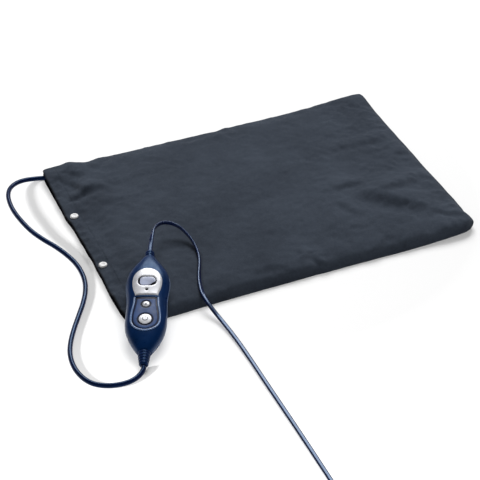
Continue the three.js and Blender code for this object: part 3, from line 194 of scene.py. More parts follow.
def woven(name, dark, light, pitch, depth, fuzz, seam=None):
    """Plain-weave cloth with a faint drift in tone. Where the points carry an edge value, the
    colour goes over to that of the seam: painted shade along the edges, the mouth and the
    underside, partly a darker stitched seam."""
    material = new_material(name, light, 0.95, Sheen_Weight=0.04, Sheen_Roughness=0.5,
                            Specular_IOR_Level=0.12)
    place = add_node(material, "ShaderNodeTexCoord")
    parts = add_node(material, "ShaderNodeSeparateXYZ")
    join(material, place.outputs["Object"], parts.inputs["Vector"])
    waves = 2 * math.pi / (pitch * MM)
    across, along = (
        math_node(material, "SINE", scaled(material, parts.outputs[way], waves)) for way in "XY"
    )
    frayed = scaled(material, noise_of(material, FUZZ_SCALE), fuzz)
    weave = math_node(material, "ADD", scaled(material, across, along), frayed)
    add_bump(material, weave, depth, WEAVE_STRENGTH)
    tone = 0
    for *grain, share in CLOTH_TONES:
        drift = scaled(material, noise_of(material, *grain), share)
        tone = math_node(material, "ADD", drift, tone)
    stops = [(0.38, dark), (0.62, light)]
    # The seam's dark colour: painted shade along the edges, the mouth and the underside, partly a
    # darker stitched seam
    if seam:
        stops.append((0.05, seam))
        edge_shade = add_node(material, "ShaderNodeAttribute", attribute_name="painted_edge_shade")
        edge_shade = scaled(material, edge_shade.outputs["Fac"], EDGE_SHADE_SHARE)
        tone = math_node(material, "SUBTRACT", tone, edge_shade)
    add_ramp(material, tone, stops)
    return material


# Cotton; its last colour is the seam's dark colour, painted shade along the edges, the mouth and
# the underside, partly a darker stitched seam
cotton = woven("cotton", (54, 61, 72), (67, 75, 87), 0.62, 0.12, 0.8, (26, 28, 34))
thread = woven("sewing_thread", (50, 57, 67), (64, 72, 82), 0.3, 0.05, 0.6)
BLUE_TINT = (0.16, 0.5, 1.0, 1)
PALE_TINT = (0.45, 0.66, 1.0, 1)
navy = moulded("navy_gloss", (1, 32, 76), 0.32, 700, 0.004, 0.28, BLUE_TINT)
# The rim's blue, lightened as a painted highlight along its rounded edge
rim_blue_and_highlight = moulded("rim_blue_and_highlight", (92, 120, 164), 0.24, 700, 0.006)
panel_navy = moulded("panel_navy", (8, 22, 54), 0.4, 1500, 0.01, 0.2)
# Pale blue painted highlight along the parting line
parting_highlight_blue = moulded("parting_highlight_blue", (128, 148, 184), 0.3, 700, 0.006)
silver = moulded("silver_lacquer", (211, 212, 217), 0.34, 1800, 0.004, Metallic=0.2)
field_blue = moulded("key_field", (54, 80, 128), 0.46, 1500, 0.01, 0.22)
pane = moulded("window_pane", (180, 188, 214), 0.16, 500, 0.003)
# Dark smoked pane; where it shows wide at the window's left and lower right it is painted shade
smoke_pane_and_shade = moulded("smoke_pane_and_shade", (10, 12, 22), 0.12, 500, 0.003, 0.3)
ink = moulded("dark_print", (10, 13, 26), 0.7, gloss=0.1)
lamp_smoke = moulded("lamp_smoke", (12, 14, 22), 0.4, gloss=0.15)
boot_rubber = moulded("boot_rubber", (12, 31, 76), 0.32, 1200, 0.02, 0.3, BLUE_TINT)
cord_pvc = moulded("pad_cord_pvc", (6, 16, 56), 0.22, 900, 0.004, 0.26, BLUE_TINT)
flex_pvc = moulded("mains_cord_pvc", (6, 17, 60), 0.2, 900, 0.003, 0.55, PALE_TINT)
plug_pvc = moulded("plug_pvc", (14, 22, 48), 0.42, 1100, 0.03)
snap_white = moulded("snap_white", (242, 242, 242), 0.32, 1500, 0.008)
nickel = moulded("pin_nickel", (206, 203, 196), 0.22, 2500, 0.006, Metallic=1.0)

# Curves and mesh builders


def ease(start, stop, at):
    share = np.clip((np.asarray(at, float) - start) / (stop - start), 0, 1)
    return share * share * (3 - 2 * share)


def bell(distance, width):
    return np.exp(-((distance / width) ** 2))


def fade(distance, reach):
    return np.exp(-distance / reach)


def new_mesh(name, solid, closed=True):
    """A mesh in metres of points and faces. The faces of a closed one are turned outwards."""
    points, faces = solid
    mesh = bpy.data.meshes.new(name)
    places = (np.asarray(points, float) * MM).tolist()
    mesh.from_pydata(places, [], [list(map(int, face)) for face in faces])
    if closed:
        fixed = bmesh.new()
        fixed.from_mesh(mesh)
        bmesh.ops.recalc_face_normals(fixed, faces=fixed.faces)
        fixed.to_mesh(mesh)
        fixed.free()
    return mesh


def add_piece(name, solid, material, body=ROOT, sharp=50, stands_for=(), closed=True):
    mesh = new_mesh(name, solid, closed)
    mesh.shade_smooth()
    if sharp:
        mesh.set_sharp_from_angle(angle=math.radians(sharp))
    mesh.materials.append(material)
    piece = new_object(name, mesh)
    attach(piece, body)
    if stands_for:
        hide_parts(*stands_for)
    return piece


def skin(rings):
    """Points and faces of a closed skin through rings of equal count."""
    rings = np.asarray(rings, float)
    count, size = rings.shape[:2]
    ahead = (np.arange(size) + 1) % size
    faces = []
    for i in range(count - 1):
        low, high = i * size, (i + 1) * size
        faces += [(low + j, low + ahead[j], high + ahead[j], high + j) for j in range(size)]
    faces += [tuple(range(size))[::-1], tuple(range((count - 1) * size, count * size))]
    return rings.reshape(-1, 3), faces


def columns(*parts):
    """Points from their coordinates, each an array or one value for all of them."""
    return np.stack(np.broadcast_arrays(*parts), axis=-1)


def unit(vectors):
    return vectors / np.linalg.norm(vectors, axis=1, keepdims=True)


def quads(index):
    """Faces of a grid of point numbers."""
    return columns(index[:-1, :-1], index[1:, :-1], index[1:, 1:], index[:-1, 1:]).reshape(-1, 4)


def round_angles(sides):
    return np.linspace(0, 2 * math.pi, sides, endpoint=False)


def ring_section(radius, sides=20):
    angles = round_angles(sides)
    return columns(radius * np.cos(angles), radius * np.sin(angles))


def squarish(angles, power):
    """Across and rise, from -1 to 1, of a section between a circle and a square."""
    across, rise = np.cos(angles), np.sin(angles)
    return np.sign(across) * np.abs(across) ** power, np.sign(rise) * np.abs(rise) ** power


def turned(profile, sides=48):
    """Points and faces of a body turned about +Z from (radius, height) pairs."""
    return skin([columns(*ring_section(r, sides).T, h) for r, h in profile])


def rod(radius, low, high, sides=32):
    return turned([(AXIS, low), (radius, low), (radius, high), (AXIS, high)], sides)


def tube(path, section, rolls=0):
    """A section swept along a path. Its first way lies level, and rolls turn it round the path."""
    path = np.asarray(path, float)
    along = unit(np.gradient(path, axis=0))
    level = unit(np.cross(along, (0, 0, 1)))
    upright = np.cross(level, along)
    turn = np.radians(np.broadcast_to(rolls, len(path)))[:, None]
    wide = level * np.cos(turn) + upright * np.sin(turn)
    thin = np.cross(along, wide)[:, None]
    return skin(path[:, None] + section[None, :, :1] * wide[:, None] + section[None, :, 1:] * thin)


def evenly(loop, spacing):
    """A closed loop with points about every spacing along it."""
    closed = np.vstack([loop, loop[:1]])
    far = lengths_along(closed)
    at = np.linspace(0, far[-1], max(8, round(far[-1] / spacing)), endpoint=False)
    return columns(*(np.interp(at, far, way) for way in closed.T))


def rounded_off(loop, times=4):
    """The loop with its corners softened."""
    for _ in range(times):
        loop = 0.25 * np.roll(loop, 1, axis=0) + 0.5 * loop + 0.25 * np.roll(loop, -1, axis=0)
    return loop


def smooth_path(points, step):
    """A centripetal spline through points, as a free flex lies, sampled about every step."""
    points = np.asarray(points, float)
    points = np.vstack([2 * points[0] - points[1], points, 2 * points[-1] - points[-2]])
    path = []
    for a, b, c, d in zip(points, points[1:], points[2:], points[3:]):
        first, middle, last = (
            math.sqrt(max(np.linalg.norm(q - p), 1e-6)) for p, q in ((a, b), (b, c), (c, d))
        )
        leave = ((b - a) / first - (c - a) / (first + middle) + (c - b) / middle) * middle
        reach = ((c - b) / middle - (d - b) / (middle + last) + (d - c) / last) * middle
        count = max(2, int(np.linalg.norm(c - b) / step))
        t = np.linspace(0, 1, count, endpoint=False)[:, None]
        path.append(
            b + leave * t
            + (3 * (c - b) - 2 * leave - reach) * t**2
            + (2 * (b - c) + leave + reach) * t**3
        )
    return np.vstack([*path, points[-2]])


def lengths_along(path):
    return np.concatenate([[0], np.cumsum(np.linalg.norm(np.diff(path, axis=0), axis=1))])


# Controller's own frame: +Y towards the mains end, +Z out of the face

HEADING = math.radians(66.9)
TILT = math.radians(10.0825)
CONTROLLER_AT = (-202.749, -163.489, 21.431)
CONTROLLER = (
    Matrix.Translation(CONTROLLER_AT)
    @ Matrix.Rotation(HEADING - math.pi / 2, 4, "Z")
    @ Matrix.Rotation(TILT, 4, "X")
)
UPPER_LENGTH, LOWER_LENGTH = 72, 73
MAINS_BOOT_LENGTH, PAD_BOOT_LENGTH = 11, 18
STRAIGHT_OUT = 6


def on_controller(points):
    turn = np.array(CONTROLLER)
    return np.asarray(points, float) @ turn[:3, :3].T + turn[:3, 3]


def on_axis(y):
    return on_controller([(0, y, 0)])[0]


# Flexes

PAD_CORD_RADIUS = 3
MAINS_WIDTH, MAINS_THICK = 5.4, 3.4
EDGE_ROLL = 74.5
ON_TABLE = PAD_CORD_RADIUS + FLOOR_GAP
ON_FLOOR = MAINS_THICK / 2 + FLOOR_GAP
PAD_CORD_OUT = 160
PAD_CORD_ROUTE = [
    (-242, 160.8, 6), (-254, 158.7, 8.5), (-265.7, 153, 11), (-276.3, 142.8, 13),
    (-283.7, 127.7, 14.5), (-287.3, 109.2, 15), (-287.8, 87.4, 15), (-284.7, 62.3, 14.5),
    (-279.2, 40.6, 13), (-270.6, 21.4, 11), (-261, 4.2, 9), (-253.4, -13, 7),
    (-248.2, -29.7, 5.2), (-246.3, -48.2, 4),
]
PAD_CORD_ROUTE += [(x, y, ON_TABLE) for x, y in (
    (-248, -68), (-254, -88), (-263.5, -108), (-276, -129), (-288.5, -150), (-298.5, -169),
    (-305.5, -187), (-309, -205), (-309, -222), (-305, -239), (-298, -250.5), (-287, -258.5),
    (-274, -262.6), (-260.5, -262.8), (-249.5, -258.6),
)]
MAINS_ROUTE = [
    (-158, -62, 40.6), (-152, -51.5, 40.2), (-144, -43, 38.6), (-135, -38.5, 36.4),
    (-126, -39.5, 33.6), (-118.5, -45.5, 30.6), (-113.5, -55, 27), (-110.5, -66, 23.6),
    (-109.5, -79, 20.4), (-111, -93, 18), (-115, -106, 17), (-120.5, -119, 16.4),
    (-126.5, -134, 15.8), (-131, -150, 15.2), (-133, -162, 14.2), (-132.8, -173, 12.2),
    (-131, -184, 9), (-128.5, -196, 5.8), (-126, -212, 3.6), (-124, -232, 2.5), (-122.8, -255, 2),
]
MAINS_ROUTE += [(x, y, ON_FLOOR) for x, y in (
    (-122.2, -285), (-122, -320), (-121.6, -360), (-121.2, -400), (-121, -440), (-121, -470),
)]
PATH_STEP = 3
# Lengths along the mains flex over which it rolls on edge and back
ROLL_UP, ROLL_DOWN = (8, 50), (150, 235)
# Where it lies on the cover, from front to back
ON_COVER = (-190, -70)
SNOUT_TIP = (-199, 150, 5.1)
COIL_START = (-121, -500)
COIL_LEAD_IN = 50
COIL_TURNS = 7.25
COIL_RADIUS = 40.5
COIL_PITCH = MAINS_THICK + 0.6
COIL_LAYER = MAINS_WIDTH + 0.6
TIE_UNDER = 1.1
COIL_LOW = TIE_UNDER + MAINS_WIDTH / 2
COIL_HIGH = COIL_LOW + COIL_LAYER
COIL_STEPS = 48
COIL_STAGES = 6  # stages of the lead-in and of the drop
DROP_START, DROP_LENGTH = 22, 34
PLUG_AXIS = 6.9


def flat_section():
    """A flat oval with a shallow groove along the middle of each side."""
    across, rise = squarish(round_angles(28), 0.85)
    across, rise = MAINS_WIDTH / 2 * across, MAINS_THICK / 2 * rise
    return columns(across, rise * (1 - 0.1 * bell(across, 0.5)))


def add_pad_cord():
    start = (SNOUT_TIP[0] - GAP, SNOUT_TIP[1], SNOUT_TIP[2])
    lead = (start[0] - STRAIGHT_OUT, start[1], start[2])
    mouth = (MOUTH_X, PAD_CORD_OUT, CLOTH + GAP + ON_TABLE)
    tip = LOWER_LENGTH + PAD_BOOT_LENGTH
    ends = [on_axis(-tip - STRAIGHT_OUT), on_axis(-tip - GAP)]
    path = smooth_path([start, lead, mouth, *PAD_CORD_ROUTE, *ends], PATH_STEP)
    cord = add_piece("pad_cord_flex", tube(path, ring_section(PAD_CORD_RADIUS)), cord_pvc, sharp=60,
                     stands_for=["pad_cord"])
    return cord


def coil_path():
    """Lead-in, spiral in on the lower layer and out on the upper one, and the drop to the plug."""
    steps = np.arange(0, COIL_STAGES, 0.5)
    rise = ease(1, COIL_STAGES, steps)
    lead = columns(
        COIL_START[0],
        COIL_START[1] - COIL_LEAD_IN * steps / COIL_STAGES,
        ON_FLOOR + (COIL_LOW - ON_FLOOR) * rise,
    )
    centre = (COIL_START[0] - COIL_RADIUS, COIL_START[1] - COIL_LEAD_IN)
    turns = np.arange(round(COIL_TURNS * COIL_STEPS) + 1) / COIL_STEPS
    half = COIL_TURNS / 2
    radius = COIL_RADIUS - COIL_PITCH * (half - np.abs(turns - half))
    climb = np.clip((turns - half) * 2 + 0.5, 0, 1)
    wound = columns(
        centre[0] + radius * np.cos(2 * math.pi * turns),
        centre[1] - radius * np.sin(2 * math.pi * turns),
        COIL_LOW + COIL_LAYER * climb,
    )
    off = wound[-1]
    steps = steps + 0.5
    fall = ease(0, COIL_STAGES - 1, steps)
    drop = columns(
        off[0] - DROP_START - DROP_LENGTH * steps / COIL_STAGES,
        off[1],
        COIL_HIGH + (PLUG_AXIS - COIL_HIGH) * fall,
    )
    rolls = np.concatenate([90 * rise, np.full(len(wound), 90.0), 90 * (1 - fall)])
    return np.vstack([lead, wound, drop]), rolls


def add_mains_cord():
    tip = UPPER_LENGTH + MAINS_BOOT_LENGTH
    ends = [on_axis(tip + GAP), on_axis(tip + STRAIGHT_OUT)]
    free = smooth_path([*ends, *MAINS_ROUTE, (*COIL_START, ON_FLOOR)], PATH_STEP)[:-1]
    far = lengths_along(free)
    free_rolls = EDGE_ROLL * (ease(*ROLL_UP, far) - ease(*ROLL_DOWN, far))
    wound, rolls = coil_path()
    path = np.vstack([free, wound])
    solid = tube(path, flat_section(), np.concatenate([free_rolls, rolls]))
    flex = add_piece("mains_flex", solid, flex_pvc, sharp=60,
                     stands_for=["mains_cord", "mains_cord_coil"])
    return flex, path


# Controller

UPPER_WIDTH, WAIST_WIDTH, LOWER_WIDTH = 51, 46.6, 48
UPPER_BULGE_AT, LOWER_BULGE_AT = 31, 29.5
UPPER_NECK_WIDTH, LOWER_NECK_WIDTH = 14.4, 16.4
UPPER_TAPER, LOWER_TAPER, DEPTH_TAPER = 1.4, 1.05, 0.85
FRONT_DEPTH, BACK_DEPTH, NECK_DEPTH = 14, 13, 7.2
WAIST_SHARE = 0.93
SECTION_POWER = 2.5
SEAM_ROUND = 0.6
END_ROUND = 1.0
PANEL_SUNK, PANEL_THICK = 0.7, 0.5
RING_WIDTH = 1.7
FIELD_INSET = 3.4
LEVEL_AT, LEVEL_RADIUS = -10, 4.75
POWER_AT, POWER_RADIUS = -33, 8
KEYS = {"level": (LEVEL_AT, LEVEL_RADIUS), "power": (POWER_AT, POWER_RADIUS)}
KEY_SIDES = {"level": 48, "power": 64}
BUTTON_PROUD, BUTTON_CROWN = 0.3, 0.9
WINDOW_AT, WINDOW_WIDTH, WINDOW_HEIGHT, WINDOW_CORNER = 24.6, 21.6, 14.6, 6.6
LAMP_AT, LAMP_RADIUS = 11.5, 1.3
# The light part of the display inside its dark mask, from the window's middle. The mask is wider at
# the left and the lower right, where it is painted shade of the window's inner walls.
DISPLAY_FACE = [
    (-8.4, 3.0), (-7.4, 5.4), (-4.6, 6.4), (4.6, 6.4), (8.2, 5.2), (9.7, 2.4), (9.7, -0.4),
    (6.4, -2.6), (4.2, -5.2), (2.0, -6.2), (-4.6, -6.2), (-7.4, -5.2), (-8.4, -2.8),
]
SCREWS = [(-8, 57), (8, 57), (-10, -55), (10, -55)]
# What lies on the face: heights of its top and foot from there, and how far its edges are rounded
BEZEL_PROUD, BEZEL_EDGE, BEZEL_HOLE_EDGE, FACE_FOOT = 1.2, 1.5, 0.5, -0.8
LENS_PROUD, LENS_EDGE = 0.45, 0.4
PRINT_PROUD, PRINT_FOOT, PRINT_EDGE = 0.5, 0.2, 0.05
LAMP_FOOT, LAMP_STRETCH = 3, (1.6, 1.2, 1)
PANEL_EDGE, KEY_ROOM = 0.3, 0.45
FIELD_PROUD, FIELD_FOOT, FIELD_EDGE = 0.3, -0.1, 0.25
RIM_INSET, RIM_LIFT, RIM_STEP, RIM_SECTION = 0.3, 0.05, 0.7, (1.15, 0.7)
SIGN_PROUD, SIGN_FOOT, SIGN_EDGE = 0.06, -0.2, 0.04
PARTING_RADIUS, PARTING_IN, PARTING_LIFT, PARTING_SHORT = 0.45, 0.12, 0.2, 1.2
CAP_INSET, CAP_DEPTH, CAP_CHAMFER, CROWN_POWER = 0.6, 1.2, 0.12, 2.2
SHELL_RISE, SHELL_STATIONS, SHELL_SHARP = 34, 131, 35
# A key slides in its bore, and its flange in the room below, from the floor up to the step.
BORE, ROOM = 0.4, 1.6
WELL_FLOOR, WELL_STEP = 0.6, 6.6
FLANGE_LOW, FLANGE_HIGH, FLANGE = 5.2, 6.2, 1.2
SCREW_WELL, SCREW_WELL_TOP = 2.9, -6
OUTSIDE, BEHIND = 30, -40  # past the face and past the back
OUTLINE_STEPS = 14
ARCH = 0.56  # reach of an arch's handles
LOOP_STEP = 0.8
EDGE_ROWS = (0.12, 0.4, 1.0)  # rows of points across a rounded edge
GROOVE = 0.9
RIB = ((0.08, 0.25), (0.16, 0), (0.55, 0), (0.63, 0.25))  # along a rib, and how far in


def by_end(y, upper, lower):
    return np.where(y > 0, upper, lower)


def swelling(y, bulge, waist, neck, power):
    """A measure along the body: it grows from the waist to a bulge and tapers down to a neck."""
    bulge_at = by_end(y, UPPER_BULGE_AT, LOWER_BULGE_AT)
    end = by_end(y, UPPER_LENGTH, LOWER_LENGTH)
    far = np.abs(y)
    grown = 0.5 - 0.5 * np.cos(np.pi * np.minimum(far / bulge_at, 1))
    past = np.clip((far - bulge_at) / (end - bulge_at), 0, 1)
    tapered = neck + (bulge - neck) * np.maximum(1 - past**2, 0) ** power
    return np.where(far < bulge_at, waist + (bulge - waist) * grown, tapered)


def half_width(y):
    y = np.asarray(y, float)
    bulge = by_end(y, UPPER_WIDTH, LOWER_WIDTH) / 2
    neck = by_end(y, UPPER_NECK_WIDTH, LOWER_NECK_WIDTH) / 2
    return swelling(y, bulge, WAIST_WIDTH / 2, neck, by_end(y, UPPER_TAPER, LOWER_TAPER))


def body_depth(y, depth):
    return swelling(np.asarray(y, float), depth, depth * WAIST_SHARE, NECK_DEPTH, DEPTH_TAPER)


def surface(x, y, depth):
    """How far the housing's surface lies from the parting plane, in the half of that depth."""
    share = np.clip(np.abs(x) / half_width(y), 0, 1)
    return body_depth(y, depth) * (1 - share**SECTION_POWER) ** (1 / SECTION_POWER)


def face_height(x, y):
    return surface(x, y, FRONT_DEPTH)


def above(lift):
    return lambda x, y: face_height(x, y) + lift


def half_shell(depth, side):
    """One half of the housing, its edge at the parting plane rounded over."""
    rise = (math.pi / 2) * np.linspace(0, 1, SHELL_RISE) ** 2
    across, up = squarish(np.concatenate([rise, math.pi - rise[-2::-1]]), 2 / SECTION_POWER)
    stations = -np.cos(np.linspace(0, math.pi, SHELL_STATIONS))
    rings = []
    for y in np.where(stations < 0, stations * LOWER_LENGTH, stations * UPPER_LENGTH):
        end = UPPER_LENGTH if y > 0 else LOWER_LENGTH
        near = max(END_ROUND - (end - abs(y)), 0)
        inset = END_ROUND - math.sqrt(max(END_ROUND**2 - near**2, 0))
        half, deep = half_width(y) - inset, body_depth(y, depth) - inset
        z = np.maximum(deep * up, GAP / 2)
        low = np.clip(SEAM_ROUND - (z - GAP / 2), 0, SEAM_ROUND)
        x = across * (half - SEAM_ROUND + np.sqrt(SEAM_ROUND**2 - low**2))
        rings.append(columns(x, y, side * z))
    return skin(rings)


def bezier(points):
    a, b, c, d = np.asarray(points, float)
    t = np.linspace(0, 1, OUTLINE_STEPS, endpoint=False)[:, None]
    return a * (1 - t) ** 3 + 3 * b * t * (1 - t) ** 2 + 3 * c * t**2 * (1 - t) + d * t**3


def straight(start, stop):
    t = np.linspace(0, 1, OUTLINE_STEPS, endpoint=False)[:, None]
    return np.asarray(start, float) * (1 - t) + np.asarray(stop, float) * t


def arched(foot, widest, top, foot_half, half, flare, lean):
    """An outline that is straight along its foot, widest further up and arched at the top. Flare
    and lean say how its flanks leave the foot."""
    flank, shoulder, arch = (widest - foot) / 2, (top - widest) * ARCH, half * ARCH
    leave = (foot_half + flare, foot + flank * lean)
    curves = [
        np.array([(foot_half, foot), leave, (half, widest - flank), (half, widest)]),
        np.array([(half, widest), (half, widest + shoulder), (arch, top), (0, top)]),
    ]
    curves += [curve[::-1] * (-1, 1) for curve in curves[::-1]]
    return np.vstack([straight((-foot_half, foot), (foot_half, foot)), *map(bezier, curves)])


def bezel_outline():
    return arched(4, 26, 45.6, 13.2, 17.4, 1, 0.5)


def panel_outline(grow=0):
    """The key panel's outline, with its arch towards the pad cord."""
    return -arched(-1.5 - grow, 32, 49.4 + grow, 14 + grow, 17 + grow, 0, 1)


def window_outline(grow=0):
    x, y = WINDOW_WIDTH / 2 - WINDOW_CORNER, WINDOW_HEIGHT / 2 - WINDOW_CORNER
    corners = [(x, y, 0), (-x, y, 90), (-x, -y, 180), (x, -y, 270)]
    arcs = [np.radians(np.linspace(start, start + 90, 12)) for _, _, start in corners]
    radius = WINDOW_CORNER + grow
    return np.vstack([
        columns(cx + radius * np.cos(arc), WINDOW_AT + cy + radius * np.sin(arc))
        for (cx, cy, _), arc in zip(corners, arcs)
    ])


def circle(y, radius, sides=48):
    return ring_section(radius, sides) + (0, y)


def inside(points, loop):
    x, y = points[:, 0], points[:, 1]
    found = np.zeros(len(points), bool)
    for (x0, y0), (x1, y1) in zip(loop, np.roll(loop, -1, axis=0)):
        if y0 != y1:
            found ^= ((y0 > y) != (y1 > y)) & (x < (x1 - x0) * (y - y0) / (y1 - y0) + x0)
    return found


def within(points, loops):
    """Whether points lie inside the first loop and outside the others."""
    found = inside(points, loops[0])
    for hole in loops[1:]:
        found &= ~inside(points, hole)
    return found


def distance_to(points, loops):
    least = np.full(len(points), np.inf)
    for loop in loops:
        for a, b in zip(loop, np.roll(loop, -1, axis=0)):
            side = b - a
            share = np.clip(((points - a) @ side) / max(side @ side, 1e-12), 0, 1)
            least = np.minimum(least, np.linalg.norm(points - a - share[:, None] * side, axis=1))
    return least


def plate(outline, top, bottom, holes=(), edge=0.6, spacing=1.1, hole_edge=None):
    """A plate over an outline with holes. top(x, y) and bottom(x, y) are its faces, and its upper
    edges are rounded by edge, or by hole_edge at the holes."""
    loops = [evenly(np.asarray(loop, float), LOOP_STEP) for loop in (outline, *holes)]
    rounds = [edge, *[hole_edge or edge] * len(holes)]
    ways = [np.arange(*ends, spacing) for ends in zip(loops[0].min(axis=0), loops[0].max(axis=0))]
    grid = columns(*np.meshgrid(*ways)).reshape(-1, 2)
    rows = [grid[distance_to(grid, loops) > edge + 0.35 * spacing]]
    for share in EDGE_ROWS:
        for loop, radius in zip(loops, rounds):
            away = np.roll(loop, -1, axis=0) - np.roll(loop, 1, axis=0)
            away = unit(columns(-away[:, 1], away[:, 0]))
            for side in (1, -1):
                row = loop + side * away * share * radius
                rows.append(row[np.abs(distance_to(row, loops) - share * radius) < 0.05 * radius])
    inner = np.vstack(rows)
    points = np.vstack([*loops, inner[within(inner, loops)]])
    starts = np.cumsum([0, *[len(loop) for loop in loops]])
    edges = [
        (first + i, first + (i + 1) % len(loop))
        for first, loop in zip(starts, loops)
        for i in range(len(loop))
    ]
    found = delaunay_2d_cdt([Vector(p) for p in points], edges, [], 1, 1e-4)
    flat = np.array([tuple(p) for p in found[0]])
    triangles = np.array(found[2])
    triangles = triangles[within(flat[triangles].mean(axis=1), loops)]
    drop = np.zeros(len(flat))
    for loop, radius in zip(loops, rounds):
        near = np.clip(radius - distance_to(flat, [loop]), 0, radius)
        drop = np.maximum(drop, radius - np.sqrt(np.maximum(radius**2 - near**2, 0)))
    upper, lower = columns(*flat.T, top(*flat.T) - drop), columns(*flat.T, bottom(*flat.T))
    count = len(flat)
    sides = dict.fromkeys(side for a, b, c in triangles for side in ((a, b), (b, c), (c, a)))
    rim = [(p, q) for p, q in sides if (q, p) not in sides]
    faces = [tuple(t) for t in triangles] + [tuple(t[::-1] + count) for t in triangles]
    faces += [(q, p, p + count, q + count) for p, q in rim]
    return np.vstack([upper, lower]), faces


def cut(piece, tools):
    """Cuts closed bodies out of a piece."""
    for solid in tools:
        cutter = new_object("cutter", new_mesh("cutter", solid))
        modifier = piece.modifiers.new("cut", "BOOLEAN")
        modifier.operation = "DIFFERENCE"
        modifier.solver = "EXACT"
        modifier.object = cutter
        with bpy.context.temp_override(object=piece, active_object=piece, selected_objects=[piece]):
            bpy.ops.object.modifier_apply(modifier=modifier.name)
        bpy.data.objects.remove(cutter)


def on_face(solid, x=0, y=0):
    """A body of the controller's own frame, moved across the face and put in the shared frame."""
    points, faces = solid
    return on_controller(points + np.array([x, y, 0])), faces


def add_shells():
    bed = plate(panel_outline(GAP), lambda x, y: np.full_like(x, OUTSIDE),
                above(-PANEL_SUNK - PANEL_THICK - GAP), edge=0.01, spacing=1.5)
    front_tools = [on_face(bed)]
    for at, radius in KEYS.values():
        room, bore = radius + ROOM, radius + BORE
        well = [(AXIS, WELL_FLOOR), (room, WELL_FLOOR), (room, WELL_STEP), (bore, WELL_STEP),
                (bore, OUTSIDE), (AXIS, OUTSIDE)]
        front_tools.append(on_face(turned(well, 64), y=at))
    back_tools = [on_face(rod(SCREW_WELL, BEHIND, SCREW_WELL_TOP), *place) for place in SCREWS]
    for name, depth, side, tools in (
        ("front", FRONT_DEPTH, 1, front_tools),
        ("back", BACK_DEPTH, -1, back_tools),
    ):
        shell = add_piece(f"shell_{name}", on_face(half_shell(depth, side)), navy,
                          stands_for=[f"{name}_shell"])
        cut(shell, tools)
        shell.data.shade_smooth()
        shell.data.set_sharp_from_angle(angle=math.radians(SHELL_SHARP))


def add_display():
    holes = [window_outline(), circle(LAMP_AT, LAMP_RADIUS + GAP, 32)]
    bezel = plate(bezel_outline(), above(BEZEL_PROUD), above(FACE_FOOT), holes, BEZEL_EDGE,
                  hole_edge=BEZEL_HOLE_EDGE)
    add_piece("bezel", on_face(bezel), silver, stands_for=["display_bezel"])
    # The smoked pane shows round the display's light face, as painted shade at the window's left
    # and lower right
    lens = plate(window_outline(-GAP), above(LENS_PROUD), above(FACE_FOOT), edge=LENS_EDGE)
    add_piece("window_pane", on_face(lens), smoke_pane_and_shade,
              stands_for=["display_lens"])
    lit = rounded_off(evenly(np.array(DISPLAY_FACE) + (0, WINDOW_AT), 0.5), 6)
    shown = plate(lit, above(PRINT_PROUD), above(PRINT_FOOT), edge=PRINT_EDGE)
    add_piece("display_print", on_face(shown), pane)
    top = face_height(0.0, LAMP_AT) + BEZEL_PROUD
    points, faces = turned([(AXIS, LAMP_FOOT), (LAMP_RADIUS, LAMP_FOOT), (LAMP_RADIUS, top),
                            (LAMP_RADIUS * 0.7, top + 0.2), (AXIS, top + 0.25)], 32)
    lamp = on_face((points * LAMP_STRETCH, faces), y=LAMP_AT)
    add_piece("lamp", lamp, lamp_smoke, stands_for=["indicator_light"])


def add_key_panel():
    def round_keys(grow):
        return [circle(at, radius + grow, KEY_SIDES[key]) for key, (at, radius) in KEYS.items()]

    base = plate(panel_outline(), above(-PANEL_SUNK), above(-PANEL_SUNK - PANEL_THICK),
                 round_keys(KEY_ROOM), PANEL_EDGE)
    add_piece("key_panel_base", on_face(base), panel_navy,
              stands_for=["keypad_panel"])
    field = plate(panel_outline(-FIELD_INSET), above(-PANEL_SUNK + FIELD_PROUD),
                  above(-PANEL_SUNK + FIELD_FOOT), round_keys(RING_WIDTH), FIELD_EDGE)
    add_piece("key_field", on_face(field), field_blue)
    # A bead along the field's rim; its light blue is partly a painted highlight
    edge = panel_outline(-RIM_INSET)
    edge = np.vstack([edge[OUTLINE_STEPS:], edge[:1]])
    edge = smooth_path(columns(*edge.T, 0), RIM_STEP)
    edge[:, 2] = face_height(edge[:, 0], edge[:, 1]) + RIM_LIFT
    rim = tube(edge, ring_section(1, 16) * RIM_SECTION)
    add_piece("field_rim", on_face(rim), rim_blue_and_highlight, sharp=60)


def add_parting_highlights():
    # A thin pale bead along each side of the parting line: a painted highlight of the rounded
    # parting edge
    y = np.linspace(-LOWER_LENGTH + PARTING_SHORT, UPPER_LENGTH - PARTING_SHORT, 160)
    for name, side in (("left", -1), ("right", 1)):
        line = columns(side * (half_width(y) - PARTING_IN), y, PARTING_LIFT)
        bead = tube(line, ring_section(PARTING_RADIUS, 8))
        add_piece(f"parting_line_{name}", on_face(bead), parting_highlight_blue, sharp=60)


def crown_height(at, radius, r):
    crown = face_height(0.0, at) - PANEL_SUNK + BUTTON_PROUD
    return crown + BUTTON_CROWN * (1 - (np.asarray(r) / radius) ** CROWN_POWER)


def add_button(name, at, radius):
    """A domed silver cap on a dark stem that shows as a collar round it."""
    cap = radius - CAP_INSET
    foot = crown_height(at, radius, cap)
    rise = cap * np.linspace(1, 0.02, 14)
    dome = [(r - CAP_CHAMFER * (r == cap), crown_height(at, radius, r)) for r in rise]
    low = foot - CAP_DEPTH
    key = turned([(AXIS, low), (cap, low), (cap, foot - 0.25), *dome], 64)
    add_piece(f"{name}_key", on_face(key, y=at), silver, f"{name}_key",
              stands_for=[f"{name}_button"])
    flange = radius + FLANGE
    stem = [(AXIS, FLANGE_LOW), (flange, FLANGE_LOW), (flange, FLANGE_HIGH), (radius, FLANGE_HIGH),
            (radius, foot - 0.5), (radius - 0.2, foot - 0.4), (AXIS, foot - 0.4)]
    add_piece(f"{name}_stem", on_face(turned(stem, 64), y=at), panel_navy, f"{name}_key")


